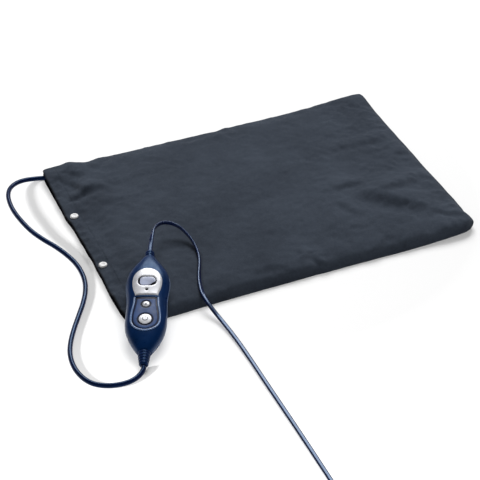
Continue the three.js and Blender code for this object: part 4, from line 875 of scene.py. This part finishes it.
def add_icons():
    """The signs on the keys, a little above their crowns."""
    arc = np.radians(np.linspace(125, 415, 40))
    ring = np.vstack([
        columns(r * np.cos(sweep), r * np.sin(sweep))
        for r, sweep in ((3.3, arc), (2.55, arc[::-1]))
    ])
    bar = [(-0.38, 0.8), (0.38, 0.8), (0.38, 3.7), (-0.38, 3.7)]
    triangle = [(-1.5, -1.4), (1.5, -1.4), (0, 1.7)]
    for name, key, sign, spacing in (
        ("power_icon_ring", "power", ring, 0.5),
        ("power_icon_bar", "power", bar, 0.3),
        ("level_icon", "level", triangle, 0.4),
    ):
        at, radius = KEYS[key]

        def from_crown(lift):
            return lambda x, y: crown_height(at, radius, np.hypot(x, y - at)) + lift

        sign = np.array(sign) + (0, at)
        solid = plate(sign, from_crown(SIGN_PROUD), from_crown(SIGN_FOOT), (), SIGN_EDGE, spacing)
        add_piece(name, on_face(solid), ink, f"{key}_key")


def add_boot(name, end, side, length, base, tip, ribs, hole):
    """A tapering strain relief with grooves between its ribs."""
    profile = [(AXIS, -3), (base * 0.8, -3), (base * 0.8, 0), (base, 0.2)]
    pitch = length / ribs
    for rib in range(ribs):
        radius = base + (tip - base) * (rib + 0.5) / ribs
        foot = rib * pitch
        profile += [(radius - drop, foot + share * pitch) for share, drop in RIB]
        if rib < ribs - 1:
            profile += [(radius - GROOVE, foot + share * pitch) for share in (0.72, 0.98)]
    profile += [(tip * 0.9, length - 0.3), (tip * 0.8, length), (hole, length)]
    profile.append((AXIS, length - 0.2))
    points, faces = turned(profile, 40)
    x, y, z = points.T
    points = columns(x, side * (end + z), -side * y)
    add_piece(f"{name}_relief", on_face((points, faces)), boot_rubber, sharp=40,
              stands_for=[name])


# Pad cover

PAD_LENGTH, PAD_WIDTH = 460, 340
MOUTH_X, CLOSED_X = -230, 230
SEAM_HEIGHT, FRONT_SEAM_HEIGHT, SHOULDER_HEIGHT, CROWN_HEIGHT = 5, 1.6, 12, 16
EDGE_ROUND, FRONT_ROUND, UNDER_ROUND = 14, 10, 8
PAD_CORNER = 3
SIDE_DRAW = 1.6
HEM, HEM_RAMP = 22, 30
HEM_LIFT, HEM_TOP = 1.6, 9.0
SNAPS = [(-220, 55), (-220, -55)]
CLOTH = 1.1

# Creases of the cover, each a line on the pad with its height and width. The front of each ridge
# is the steep one.
FOLDS = [
    ([(-218, 146), (-206, 132), (-196, 116), (-190, 100)], 2.4, 4.5),
    ([(-204, 152), (-192, 138), (-176, 128)], 1.6, 5),
    ([(-200, 99), (-182, 100), (-164, 97)], 4.2, 6.5),
    ([(-221, 94), (-204, 93), (-184, 98)], 3.0, 4.5),
    ([(-222, 80), (-205, 76), (-180, 78)], 1.2, 5),
    ([(-184, 61), (-160, 61), (-130, 60)], 1.3, 5),
    ([(-168, 152), (-152, 138), (-134, 132)], 1.6, 6),
    ([(-150, 96), (-128, 100), (-96, 101)], 0.9, 5),
    ([(9, 168), (12, 150), (17, 126)], 1.4, 5),
    ([(26, 168), (31, 152), (30, 138)], 0.8, 4),
    ([(42, 112), (27, 70), (28, 34)], 0.7, 8),
    ([(66, 86), (58, 66), (54, 50)], 0.6, 7),
    ([(124, 52), (150, 53), (172, 53), (200, 55), (229, 60)], 2.0, 6),
    ([(120, 34), (150, 30), (190, 36)], 1.1, 7),
    ([(196, 20), (212, 14), (229, 16)], 1.0, 6),
    ([(94, -31), (108, -29), (122, -30), (140, -34)], 3.0, 6),
    ([(116, -49), (128, -56), (141, -66), (163, -86), (192, -113)], 6.2, 10.5),
    ([(148, -59), (166, -54), (186, -52), (206, -50)], 4.4, 7.5),
    ([(194, -41), (212, -46), (231, -62)], 1.8, 5),
    ([(92, -56), (97, -74), (106, -98)], 2.8, 5.5),
    ([(74, -111), (88, -112), (104, -114)], 1.3, 5),
    ([(140, -112), (150, -128), (156, -146)], 1.0, 6),
    ([(3, -126), (8, -142), (8, -166)], 2.0, 4),
    ([(13, -144), (20, -158), (31, -168)], 2.2, 4),
    ([(86, -169), (97, -158), (112, -146)], 1.7, 4),
    ([(48, -168), (58, -156), (62, -142)], 1.0, 4),
    ([(128, -169), (140, -160), (158, -154)], 1.3, 4.5),
    ([(190, -118), (207, -132), (228, -144)], 2.6, 5.5),
    ([(180, -160), (196, -154), (214, -152)], 1.6, 5),
    ([(-112, -156), (-78, -159), (-40, -160)], 1.2, 5),
    ([(-30, -150), (-14, -158), (-4, -168)], 1.0, 5),
]
# Where the outline is drawn in: a place on the edge, reach along it, and how far in.
EDGE_PULLS = [
    ((-170, 170), 15, 3.0), ((12, 170), 8, 1.4), ((34, 170), 8, -0.7), ((230, 64), 20, 0.4),
    ((230, -20), 30, 0.8), ((230, -110), 20, 0.2), ((230, -133), 8, 1.6),
    ((10, -170), 7, 0.5), ((92, -170), 10, 0.4),
]
# How the upper sheet settles as cloth
SETTLE_STEP = 3.6
SETTLE_FRAMES = 20
SETTLE_SLACK = 0.012
SETTLE_PRESSURE = 1.0
SETTLE_BENDING = 0.3
SETTLE_CAP = 2.5
# How far the mouth is drawn in, at places along it
MOUTH_DRAW = [(-170, -154, -127, -105, -73, -32, 9, 36, 63, 100, 132, 162, 167, 170),
              (3, 2.5, 0.5, 0.3, 2.2, 2.2, 2.5, 2, 1.1, 0.8, 2.1, 2.8, 4, 6.5)]
# How far the front edge lies out past the straight seam, at places along it
FRONT_OUT = [(-230, -180, -145, -105, -40, 60, 120, 230),
             (3.4, 2.8, 2.1, 0.7, 0.0, -0.9, -0.6, -0.2)]
# Where the seam stands off the table, or sinks: place, reach both ways and height
CORNER_LIFTS = [((234, -174), (62, 46), 5.5), ((-167, 172), (12, 24), -1.6),
                ((234, 174), (60, 34), 4.8)]
# Relief of the sheet: height, size and seed of each part
UNEVEN = [(0.5, 48, 3.1), (0.25, 19, 7.7), (0.1, 8, 1.9)]
CRUMPLED = [(0.45, 38, 6.1), (0.38, 14, 2.7)]
FOLD_LIMITS = (-2, 6.4)
NEAR_EDGE = 14
# How worn the sheet is all over, and more near the mouth and near the closed end: share and reach
WORN, WORN_MOUTH, WORN_END = 0.28, (1, 60), (0.9, 80)
# Distances over which the relief sets in round a snap and along a seam
SNAP_CALM, SEAM_CALM = (6, 12), (0, 5)
# Folds: the ridge's back and the trough at its front, in the ridge's width, and the least height
FOLD_BACK, TROUGH, TROUGH_AT, TROUGH_WIDTH, FOLD_LEAST = 2.4, 0.35, 1.7, 1.1, 0.15
# How far the outline's pulls, waves and corner reach into the pad
SIDE_PULL, END_PULL, FRONT_PULL, MOUTH_PULL, WAVE_REACH = 22, 20, 28, 9, 15
END_OUT, END_WAVE, MOUTH_WAVE, SIDE_WAVE = 1, 0.35, 0.8, 0.25
BLUNT = [(4, 15), (2.6, 6)]
# The upper sheet dips at the mouth, and the lower one follows the lifted corners.
MOUTH_DIP, MOUTH_DIP_REACH, LIFT_REACH = 1.4, 3, 22
# How much painted shade, in the seam's dark colour, the edge, the mouth and the tacked corners of
# the mouth take; partly a darker stitched seam
RIM_SHADE, MOUTH_SHADE, TACK_SHADE = 0.24, 0.8, 0.9
# The hump over the junction block: place, reach both ways and height
HUMP_AT, HUMP_REACH, HUMP = (-178, 150), (30, 32), 4.5
# Distances of the grid's first lines from the seams and from the mouth
SEAM_LINES = np.array([0, 0.5, 1.2, 2.2, 3.5, 5, 7, 9.2, 11.8, 14.6])
MOUTH_LINES = np.array([0, 0.7, 1.8, 3.2, 5])
INNER_FROM_MOUTH, INNER_FROM_SEAM = 7, 17
INNER_ROWS, INNER_COLUMNS = 200, 146
MIDDLE_ROW, MIDDLE_COLUMN = 100, 80


def pad_half_width(x):
    drawn = PAD_WIDTH / 2 - SIDE_DRAW * (1 - (2 * x / PAD_LENGTH) ** 2)
    past = np.clip(x - (CLOSED_X - PAD_CORNER), 0, PAD_CORNER)
    return drawn - PAD_CORNER + np.sqrt(PAD_CORNER**2 - past**2)


def edge_rise(distance, reach):
    return np.sqrt(1 - (1 - np.clip(distance / reach, 0, 1)) ** 2)


def mound(x, y, place, reach):
    return bell(x - place[0], reach[0]) * bell(y - place[1], reach[1])


def seam_height(y):
    """The front seam lies lower than the others."""
    return SEAM_HEIGHT + (FRONT_SEAM_HEIGHT - SEAM_HEIGHT) * ease(-90, -150, y)


def front_rise(distance):
    """The front edge slopes more evenly than the others."""
    return 1 - (1 - np.clip(distance / FRONT_ROUND, 0, 1)) ** 2.1


def hem_share(x):
    return 1 - ease(MOUTH_X + HEM, MOUTH_X + HEM + HEM_RAMP, x)


def seeded(relief, x, y, scale, seed):
    """A relief, a function of a point, at each place of the pad."""
    flat = columns(x.ravel(), y.ravel()) / scale
    return np.array([relief(Vector((a, b, seed))) for a, b in flat]).reshape(x.shape)


def rough(x, y, scale, seed):
    """Smooth seeded noise over the pad, about -1 to 1."""
    return seeded(noise.noise, x, y, scale, seed) * 1.6


def fold_height(x, y):
    total = np.zeros_like(x)
    for line, height, width in FOLDS:
        line = np.asarray(line, float)
        spans = lengths_along(line)
        best = np.full(x.shape, np.inf)
        signed, far = np.zeros_like(x), np.zeros_like(x)
        for (a, b), start in zip(zip(line, line[1:]), spans):
            side = b - a
            length = np.linalg.norm(side)
            along = ((x - a[0]) * side[0] + (y - a[1]) * side[1]) / length**2
            along = along.clip(0, 1)
            off_x, off_y = x - a[0] - along * side[0], y - a[1] - along * side[1]
            gap = np.hypot(off_x, off_y)
            front = np.array([side[1], -side[0]]) / length
            front = front if front @ (0.25, -1) > 0 else -front
            closer = gap < best
            best = np.where(closer, gap, best)
            ahead = np.where(off_x * front[0] + off_y * front[1] > 0, gap, -gap)
            signed = np.where(closer, ahead, signed)
            far = np.where(closer, (start + along * length) / spans[-1], far)
        ridge = np.where(signed > 0, bell(signed, width), bell(signed, FOLD_BACK * width))
        trough = -TROUGH * bell(signed - TROUGH_AT * width, TROUGH_WIDTH * width)
        taper = np.clip(4 * far * (1 - far), 0, 1) ** 0.6
        ends = bell(np.maximum(best - np.abs(signed), 0), width)
        total += height * (ridge + trough) * np.maximum(taper, FOLD_LEAST) * ends
    return total


def edge_distance(x, y):
    return np.maximum(pad_half_width(x) - np.abs(y), 0), np.maximum(CLOSED_X - x, 0)


def corner_lift(x, y):
    """How far the seam stands off the table at the lifted corners, and sinks beside one of them."""
    back = 4.6 * ease(-252, -232, x) * (1 - ease(-196, -172, x)) * bell(y - 172, 40)
    return back + sum(height * mound(x, y, *where) for *where, height in CORNER_LIFTS)


def crumple(x, y, scale, seed):
    """Seeded relief with sharp ridges, as in washed cloth, of average 0 and spread 1."""
    def ridges(point):
        return noise.ridged_multi_fractal(point, 1.0, 2.0, 3, 1.0, 2.0)

    values = seeded(ridges, x, y, scale, seed)
    return (values - values.mean()) / values.std()


def creases(x, y):
    """Fine sharp wrinkles, about 0 to 1."""
    bent = x + 9 * rough(x, y, 40, 11.3), y + 9 * rough(x, y, 40, 17.9)
    return np.clip(1 - 1.7 * np.abs(rough(bent[0] * 0.6, bent[1], 26, 23.7)), 0, 1) ** 2


def cover_top(x, y):
    side, end = edge_distance(x, y)
    rim = np.minimum(side, end)
    front = ease(0, -120, y)
    along = (1 - front) * edge_rise(side, EDGE_ROUND) + front * front_rise(side)
    share = along * edge_rise(np.maximum(end, 0.6), EDGE_ROUND)
    dome = (1 - (2 * x / PAD_LENGTH) ** 2) * (1 - (2 * y / PAD_WIDTH) ** 2)
    pillow = SHOULDER_HEIGHT + (CROWN_HEIGHT - SHOULDER_HEIGHT) * dome
    full = HEM_TOP + (pillow - HEM_TOP) * (1 - hem_share(x))
    full += HUMP * mound(x, y, HUMP_AT, HUMP_REACH)
    free = np.clip(fold_height(x, y), *FOLD_LIMITS)
    free += sum(height * rough(x, y, *grain) for height, *grain in UNEVEN)
    near = fade(rim, NEAR_EDGE)
    free += (0.4 + 0.8 * near) * creases(x, y)
    worn = WORN + WORN_MOUTH[0] * fade(x - MOUTH_X, WORN_MOUTH[1])
    worn += WORN_END[0] * fade(end, WORN_END[1])
    worn *= 1 - 0.7 * fade(np.minimum(PAD_WIDTH / 2 - y, end), NEAR_EDGE)
    free += worn * sum(height * crumple(x, y, *grain) for height, *grain in CRUMPLED)
    ripples = np.where(side < end, rough(x, 0.12 * y, 10, 5.3), rough(0.12 * x, y, 11, 8.3))
    free += 0.6 * near * ripples
    calm = ease(*SEAM_CALM, rim)
    for snap_x, snap_y in SNAPS:
        calm *= ease(*SNAP_CALM, np.hypot(x - snap_x, y - snap_y))
    seam = seam_height(y)
    return seam + (full - seam) * share + free * calm * np.clip(share * 1.4, 0, 1)


def cover_underside(x, y):
    side, end = edge_distance(x, y)
    share = edge_rise(side, UNDER_ROUND) * edge_rise(np.maximum(end, 0.6), UNDER_ROUND)
    held = 1 - ease(95, 135, np.abs(y))
    return seam_height(y) * (1 - share) + HEM_LIFT * hem_share(x) * held


def cover_plan():
    """The pouch's grid: x and y of each point, fine along the edges."""
    half = PAD_WIDTH / 2
    inner = 1 - INNER_FROM_SEAM / half
    x = np.concatenate([
        MOUTH_X + MOUTH_LINES,
        np.linspace(MOUTH_X + INNER_FROM_MOUTH, CLOSED_X - INNER_FROM_SEAM, INNER_ROWS),
        CLOSED_X - SEAM_LINES[::-1],
    ])
    v = np.concatenate([
        -1 + SEAM_LINES / half,
        np.linspace(-inner, inner, INNER_COLUMNS),
        1 - SEAM_LINES[::-1] / half,
    ])
    grid_x = np.repeat(x[:, None], v.size, axis=1)
    return grid_x, pad_half_width(grid_x) * v[None, :]


def drawn_in(x, y):
    """Moves the plan by the pulls along the outline and by its small waves."""
    plan_x, plan_y = x.copy(), y.copy()
    half = PAD_WIDTH / 2
    for (px, py), reach, depth in EDGE_PULLS:
        if abs(py) == half:
            plan_y -= np.sign(py) * depth * bell(x - px, reach) * fade(np.abs(y - py), SIDE_PULL)
        else:
            plan_x -= depth * bell(y - py, reach) * fade(np.abs(x - px), END_PULL)
    plan_x += (END_OUT + END_WAVE * rough(x, y, 17, 9.4)) * fade(CLOSED_X - x, WAVE_REACH)
    plan_y -= np.interp(x, *FRONT_OUT) * fade(y + half, FRONT_PULL)
    corner = np.hypot(x - CLOSED_X, y + half)
    blunt = sum(depth * bell(corner, reach) for depth, reach in BLUNT)
    mouth = np.interp(y, *MOUTH_DRAW) + MOUTH_WAVE * rough(x, y, 23, 2.2)
    plan_x += mouth * fade(x - MOUTH_X, MOUTH_PULL)
    waves = SIDE_WAVE * np.sign(y) * rough(x, y, 15, 4.8) * fade(half - np.abs(y), WAVE_REACH)
    return plan_x - blunt, plan_y + waves + blunt


def pressed(points, flex_path):
    """The cover's upper points let down where the controller or its flex lies on it."""
    points = points.copy()
    turn = np.array(CONTROLLER)
    x, y, z = ((points - turn[:3, 3]) @ turn[:3, :3]).T
    under = (np.abs(x) < half_width(y) - 0.5) & (y > -LOWER_LENGTH) & (y < UPPER_LENGTH)
    back = -surface(x, y, BACK_DEPTH) - GAP
    points[:, 2] -= np.where(under, np.maximum(z - back, 0), 0) / turn[2, 2]
    for px, py, pz in flex_path:
        near = np.hypot(points[:, 0] - px, points[:, 1] - py) < MAINS_WIDTH / 2
        points[near, 2] = np.minimum(points[near, 2], pz - MAINS_WIDTH / 2 - GAP)
    return points


def spaced(places, step):
    """Indices of places at least a step apart, with the first and the last."""
    kept = [0]
    for i in range(1, len(places) - 1):
        if places[i] - places[kept[-1]] >= step and places[-1] - places[i] >= step:
            kept.append(i)
    return np.array([*kept, len(places) - 1])


def settled(sheet):
    """The upper sheet after it has settled as cloth with a little slack, held along its seams."""
    rows = spaced(sheet[:, MIDDLE_COLUMN, 0], SETTLE_STEP)
    files = spaced(sheet[MIDDLE_ROW, :, 1], SETTLE_STEP)
    coarse = sheet[np.ix_(rows, files)]
    index = np.arange(rows.size * files.size).reshape(rows.size, files.size)
    solid = (coarse.reshape(-1, 3), quads(index))
    piece = new_object("sheet", new_mesh("sheet", solid, closed=False))
    seams = np.unique(np.concatenate([index[0], index[-1], index[:, 0], index[:, -1]]))
    piece.vertex_groups.new(name="seams").add(seams.tolist(), 1.0, "REPLACE")
    cloth = piece.modifiers.new("cloth", "CLOTH").settings
    cloth.quality = 6
    cloth.mass = 0.15
    cloth.tension_stiffness = cloth.compression_stiffness = 15
    cloth.shear_stiffness = 5
    cloth.bending_stiffness = SETTLE_BENDING
    cloth.vertex_group_mass = "seams"
    cloth.shrink_min = cloth.shrink_max = -SETTLE_SLACK
    cloth.use_pressure = True
    cloth.uniform_pressure_force = SETTLE_PRESSURE
    cloth.effector_weights.gravity = 0
    scene = bpy.context.scene
    for step in range(1, SETTLE_FRAMES + 1):
        scene.frame_set(step)
    held = piece.evaluated_get(bpy.context.evaluated_depsgraph_get())
    moved = np.empty(index.size * 3)
    held.data.vertices.foreach_get("co", moved)
    bpy.data.objects.remove(piece)
    scene.frame_set(1)
    shift = moved.reshape(coarse.shape) / MM - coarse
    far = np.linalg.norm(shift, axis=-1)
    shift *= np.minimum(1, SETTLE_CAP / np.maximum(far, 1e-6))[..., None]
    for axis, known in enumerate((rows, files)):
        every = np.arange(sheet.shape[axis])
        shift = np.apply_along_axis(lambda line: np.interp(every, known, line), axis, shift)
    for _ in range(2):
        shift[1:-1] = 0.25 * shift[:-2] + 0.5 * shift[1:-1] + 0.25 * shift[2:]
        shift[:, 1:-1] = 0.25 * shift[:, :-2] + 0.5 * shift[:, 1:-1] + 0.25 * shift[:, 2:]
    share = ease(0, 30, PAD_WIDTH / 2 - np.abs(sheet[..., 1]))
    for snap_x, snap_y in SNAPS:
        share *= ease(6, 16, np.hypot(sheet[..., 0] - snap_x, sheet[..., 1] - snap_y))
    return sheet + shift * share[..., None]


def add_cover(flex_path):
    x, y = cover_plan()
    side, end = edge_distance(x, y)
    rim, mouth = np.minimum(side, end), x - MOUTH_X
    lift = corner_lift(x, y)
    over = cover_top(x, y) + lift - MOUTH_DIP * fade(mouth, MOUTH_DIP_REACH)
    under = cover_underside(x, y) + np.maximum(lift, 0) * fade(rim, LIFT_REACH)
    plan = drawn_in(x, y)
    sheet = columns(*plan, over)
    sheet = settled(sheet)
    upper = pressed(sheet.reshape(-1, 3), flex_path)
    lower = columns(*plan, under).reshape(-1, 3)
    index = np.arange(x.size).reshape(x.shape)
    below = index + x.size
    below[:, 0], below[:, -1], below[-1, :] = index[:, 0], index[:, -1], index[-1, :]
    faces = np.vstack([quads(index), quads(below)[:, [0, 3, 2, 1]]])
    # Painted shade in the seam's dark colour. On the upper sheet it is narrow along the edges and
    # the mouth, and at the mouth's tacked corners. On the underside it is wide near the edges and
    # the mouth. Partly a darker stitched seam.
    shade_over = np.maximum.reduce([
        RIM_SHADE * (1 - ease(0.5, 5, rim)),
        MOUTH_SHADE * (1 - ease(0, 3, mouth)),
        TACK_SHADE * bell(mouth, 12) * bell(side, 5),
    ])
    shade_under = np.maximum(1 - ease(6, 12, rim), 1 - ease(8, 20, mouth))
    edge_shade = np.stack([shade_over, shade_under]).ravel()
    used, renumbered = np.unique(faces, return_inverse=True)
    solid = (np.vstack([upper, lower])[used], renumbered.reshape(faces.shape))
    cover = add_piece("cotton_cover", solid, cotton, sharp=None,
                      stands_for=["pad_cover"], closed=False)
    edge = cover.data.attributes.new("painted_edge_shade", "FLOAT", "POINT")
    edge.data.foreach_set("value", edge_shade[used])
    thick = cover.modifiers.new("cloth", "SOLIDIFY")
    thick.thickness = CLOTH * MM
    thick.offset = -1
    return upper.reshape(*x.shape, 3)


STITCH, STITCH_STEP, STITCH_RADIUS = 2.3, 3.3, 0.24
STITCH_ARC = (-0.12, 0.16, 0.22, 0.16, -0.12)
STITCHES_IN = 3  # from the hem's inner edge


def add_stitches(upper):
    """A row of stitches along the hem's inner edge."""
    row = np.argmin(np.abs(upper[:, 60, 0] - (MOUTH_X + HEM - STITCHES_IN)))
    line = upper[row, 6:-6]
    line = line[np.argsort(line[:, 1])]
    points, faces = [], []
    for start in np.arange(line[0, 1], line[-1, 1] - 2.4, STITCH_STEP):
        y = np.linspace(start, start + STITCH, len(STITCH_ARC))
        x = np.interp(y, line[:, 1], line[:, 0])
        z = np.interp(y, line[:, 1], line[:, 2]) + STITCH_ARC
        ring, sides = tube(columns(x, y, z), ring_section(STITCH_RADIUS, 6))
        faces += [tuple(np.array(face) + len(points) * len(ring)) for face in sides]
        points.append(ring)
    add_piece("hem_stitching", (np.vstack(points), faces), thread, sharp=None)


SNAP_PROFILE = [
    (AXIS, 8.6), (5, 8.6), (5.2, 9.2), (5.2, 10), (4.95, 10.6), (4.4, 11), (3.6, 11.2),
    (2.7, 11.15), (2.1, 10.9), (1.6, 10.6), (AXIS, 10.5),
]


def add_snaps():
    points, faces = turned(SNAP_PROFILE)
    for number, place in enumerate(SNAPS, 1):
        add_piece(f"snap_{number}", (points + (*place, 0), faces), snap_white, sharp=60,
                  stands_for=[f"snap_cap_{number}"])


# Plug

# Distance from the cord end, width and thickness
PLUG_SHAPE = [
    (0, 8.6, 6.4), (0.8, 9.6, 7.4), (20, 12.4, 9), (20.4, 13.6, 10.2), (21, 14.4, 10.8),
    (26, 15.6, 11.6), (31, 18.3, 12.2), (37, 23.5, 12.8), (43, 29.4, 13.2), (47, 33.4, 13.5),
    (50, 35, 13.6), (53, 35.2, 13.6), (55.2, 35.2, 13.6), (55.8, 34.4, 12.9), (56, 33.6, 12),
]
PLUG_FACE = PLUG_SHAPE[-1][0]
PIN_SPACING, PIN_RADIUS, PIN_SLEEVE = 18.6, 2, 10
PIN_PROFILE = [
    (AXIS, 8), (1.1, 8), (1.1, 10.2), (1.9, 10.3), (2, 10.4), (2, 17.6), (1.85, 18.2), (1.5, 18.7),
    (0.9, 18.95), (AXIS, 19),
]


def add_plug(end):
    """The plug lies with its cord end at end and its pins along -X."""
    def place(points):
        x, y, z = np.asarray(points, float).T
        return columns(end[0] - GAP + y, end[1] - x, PLUG_AXIS + z)

    across, rise = squarish(round_angles(56), 0.8)
    points, faces = skin([
        columns(across * wide / 2, -y, rise * thick / 2)
        for y, wide, thick in PLUG_SHAPE
    ])
    made = [add_piece("plug_shell", (place(points), faces), plug_pvc, sharp=40,
                      stands_for=["plug_body"])]
    sleeve, metal = rod(PIN_RADIUS, -2, PIN_SLEEVE), turned(PIN_PROFILE, 32)
    for number, x in ((1, -PIN_SPACING / 2), (2, PIN_SPACING / 2)):
        for name, (points, faces), finish, slot, nodes in (
            (f"pin_sleeve_{number}", sleeve, plug_pvc, "plug_pvc", ()),
            (f"pin_{number}", metal, nickel, "pin_nickel", [f"plug_pin_{number}"]),
        ):
            px, py, pz = points.T
            solid = (place(columns(x + px, -PLUG_FACE - pz, py)), faces)
            made.append(add_piece(name, solid, finish, stands_for=nodes))
    return made


# Finishes of the solids that stay

KEPT = {
    woven("felt", (205, 200, 188), (222, 218, 208), 1.6, 0.2, 2.5):
        ["insert_base_felt", "insert_top_felt"],
    moulded("white_plastic", (230, 229, 224), 0.5):
        ["heating_wire", "level_plunger", "power_plunger"],
    moulded("black_plastic", (26, 26, 30), 0.5):
        ["thermal_cutout", "junction_block", "level_switch", "power_switch", "microcontroller",
         "triac"],
    snap_white: ["snap_back_1", "snap_back_2"],
    moulded("snap_inner", (214, 210, 196), 0.5):
        ["snap_socket_1", "snap_stud_1", "snap_socket_2", "snap_stud_2"],
    moulded("display_face", (176, 182, 204), 0.4): ["display_module"],
    moulded("board_green", (31, 90, 58), 0.45): ["circuit_board"],
    moulded("capacitor_blue", (78, 102, 152), 0.5): ["suppression_capacitor"],
    moulded("fuse_glass", (205, 216, 220), 0.08, 400, 0.002, Transmission_Weight=0.8): ["fuse"],
    moulded("screw_steel", (190, 193, 198), 0.3, 2500, 0.01, Metallic=1.0):
        [f"housing_screw_{number}" for number in (1, 2, 3, 4)],
    moulded("strap_black", (20, 20, 23), 0.6, 1600, 0.04): ["cord_tie"],
}


def finish_kept():
    for material, names in KEPT.items():
        for name in names:
            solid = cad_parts[name]
            solid.data.materials.clear()
            solid.data.materials.append(material)


# Floor and light, in metres

FLOOR_HALF = 6
GLOW_FROM, GLOW_TO, GLOW = 0.28, 0.5, 0.4  # the floor glows to the camera away from the part
SKY = 0.2


def add_floor():
    mesh = bpy.data.meshes.new("floor")
    corners = [(x * FLOOR_HALF, y * FLOOR_HALF, 0) for x, y in ((-1, -1), (1, -1), (1, 1), (-1, 1))]
    mesh.from_pydata(corners, [], [(0, 1, 2, 3)])
    floor = new_object("floor", mesh)
    material = new_material("floor_white", (231, 231, 231), 0.9, Specular_IOR_Level=0.0)
    place = add_node(material, "ShaderNodeTexCoord")
    length = add_node(material, "ShaderNodeVectorMath", operation="LENGTH")
    join(material, place.outputs["Object"], length.inputs[0])
    outward = map_range(material, length.outputs["Value"], GLOW_FROM, GLOW_TO, 0, GLOW)
    glow = scaled(material, camera_share(material), outward)
    shader_input(material, "Emission Color").default_value = WHITE
    join(material, glow, shader_input(material, "Emission Strength"))
    mesh.materials.append(material)
    return floor


def camera_share(material):
    """1 for camera, glossy and transmission rays, else 0."""
    path = add_node(material, "ShaderNodeLightPath")
    share = path.outputs["Is Camera Ray"]
    for kind in ("Is Glossy Ray", "Is Transmission Ray"):
        share = math_node(material, "MAXIMUM", share, path.outputs[kind])
    return share


def add_world():
    world = bpy.data.worlds.new("studio")
    bpy.context.scene.world = world
    world.use_nodes = True
    background = world.node_tree.nodes["Background"]
    background.inputs["Color"].default_value = WHITE
    background.inputs["Strength"].default_value = SKY


def add_softbox(name, position, aim, size, watts):
    """A lamp that faces a place on the floor's X axis."""
    lamp = bpy.data.lights.new(name, "AREA")
    lamp.shape = "RECTANGLE"
    lamp.size, lamp.size_y = size
    lamp.energy = watts
    box = new_object(name, lamp)
    box.location = position
    box.rotation_mode = "QUATERNION"
    box.rotation_quaternion = (Vector((aim, 0, 0)) - Vector(position)).to_track_quat("-Z", "Y")
    return box


def shade_only(name, pieces, state):
    """A set for a lamp's links, with the pieces either the only ones in it or left out of it."""
    group = bpy.data.collections.new(name)
    for piece in pieces:
        group.objects.link(piece)
    for entry in group.collection_objects:
        entry.light_linking.link_state = state
    return group


add_camera()
pad_cord = add_pad_cord()
mains_flex, mains_path = add_mains_cord()
plug_pieces = add_plug(mains_path[-1])
on_cover = (mains_path[:, 1] > ON_COVER[0]) & (mains_path[:, 1] < ON_COVER[1])
add_stitches(add_cover(mains_path[on_cover]))
add_snaps()
add_shells()
add_display()
add_key_panel()
add_parting_highlights()
for key, (at, radius) in KEYS.items():
    add_button(key, at, radius)
add_icons()
add_boot("mains_boot", UPPER_LENGTH, 1, MAINS_BOOT_LENGTH, base=6.4, tip=5.4, ribs=3, hole=2.6)
add_boot("pad_cord_boot", LOWER_LENGTH, -1, PAD_BOOT_LENGTH, base=7.8, tip=5.2, ribs=5, hole=3)
finish_kept()
floor = add_floor()
add_world()
back = add_softbox("back", (1.5, 2.9, 3.4), aim=-0.05, size=(3, 2.4), watts=216)
back.light_linking.blocker_collection = shade_only("not_from_back", [pad_cord], "EXCLUDE")
left = add_softbox("left", (-3.5, -0.4, 1.55), aim=-0.25, size=(0.4, 0.4), watts=160)
left.light_linking.receiver_collection = shade_only("from_left", [floor], "INCLUDE")
left.light_linking.blocker_collection = shade_only("against_left", [pad_cord], "INCLUDE")
add_softbox("front", (-0.9, -1.9, 1.5), aim=-0.05, size=(2, 1.6), watts=3)

bpy.context.scene.view_settings.view_transform = "Standard"
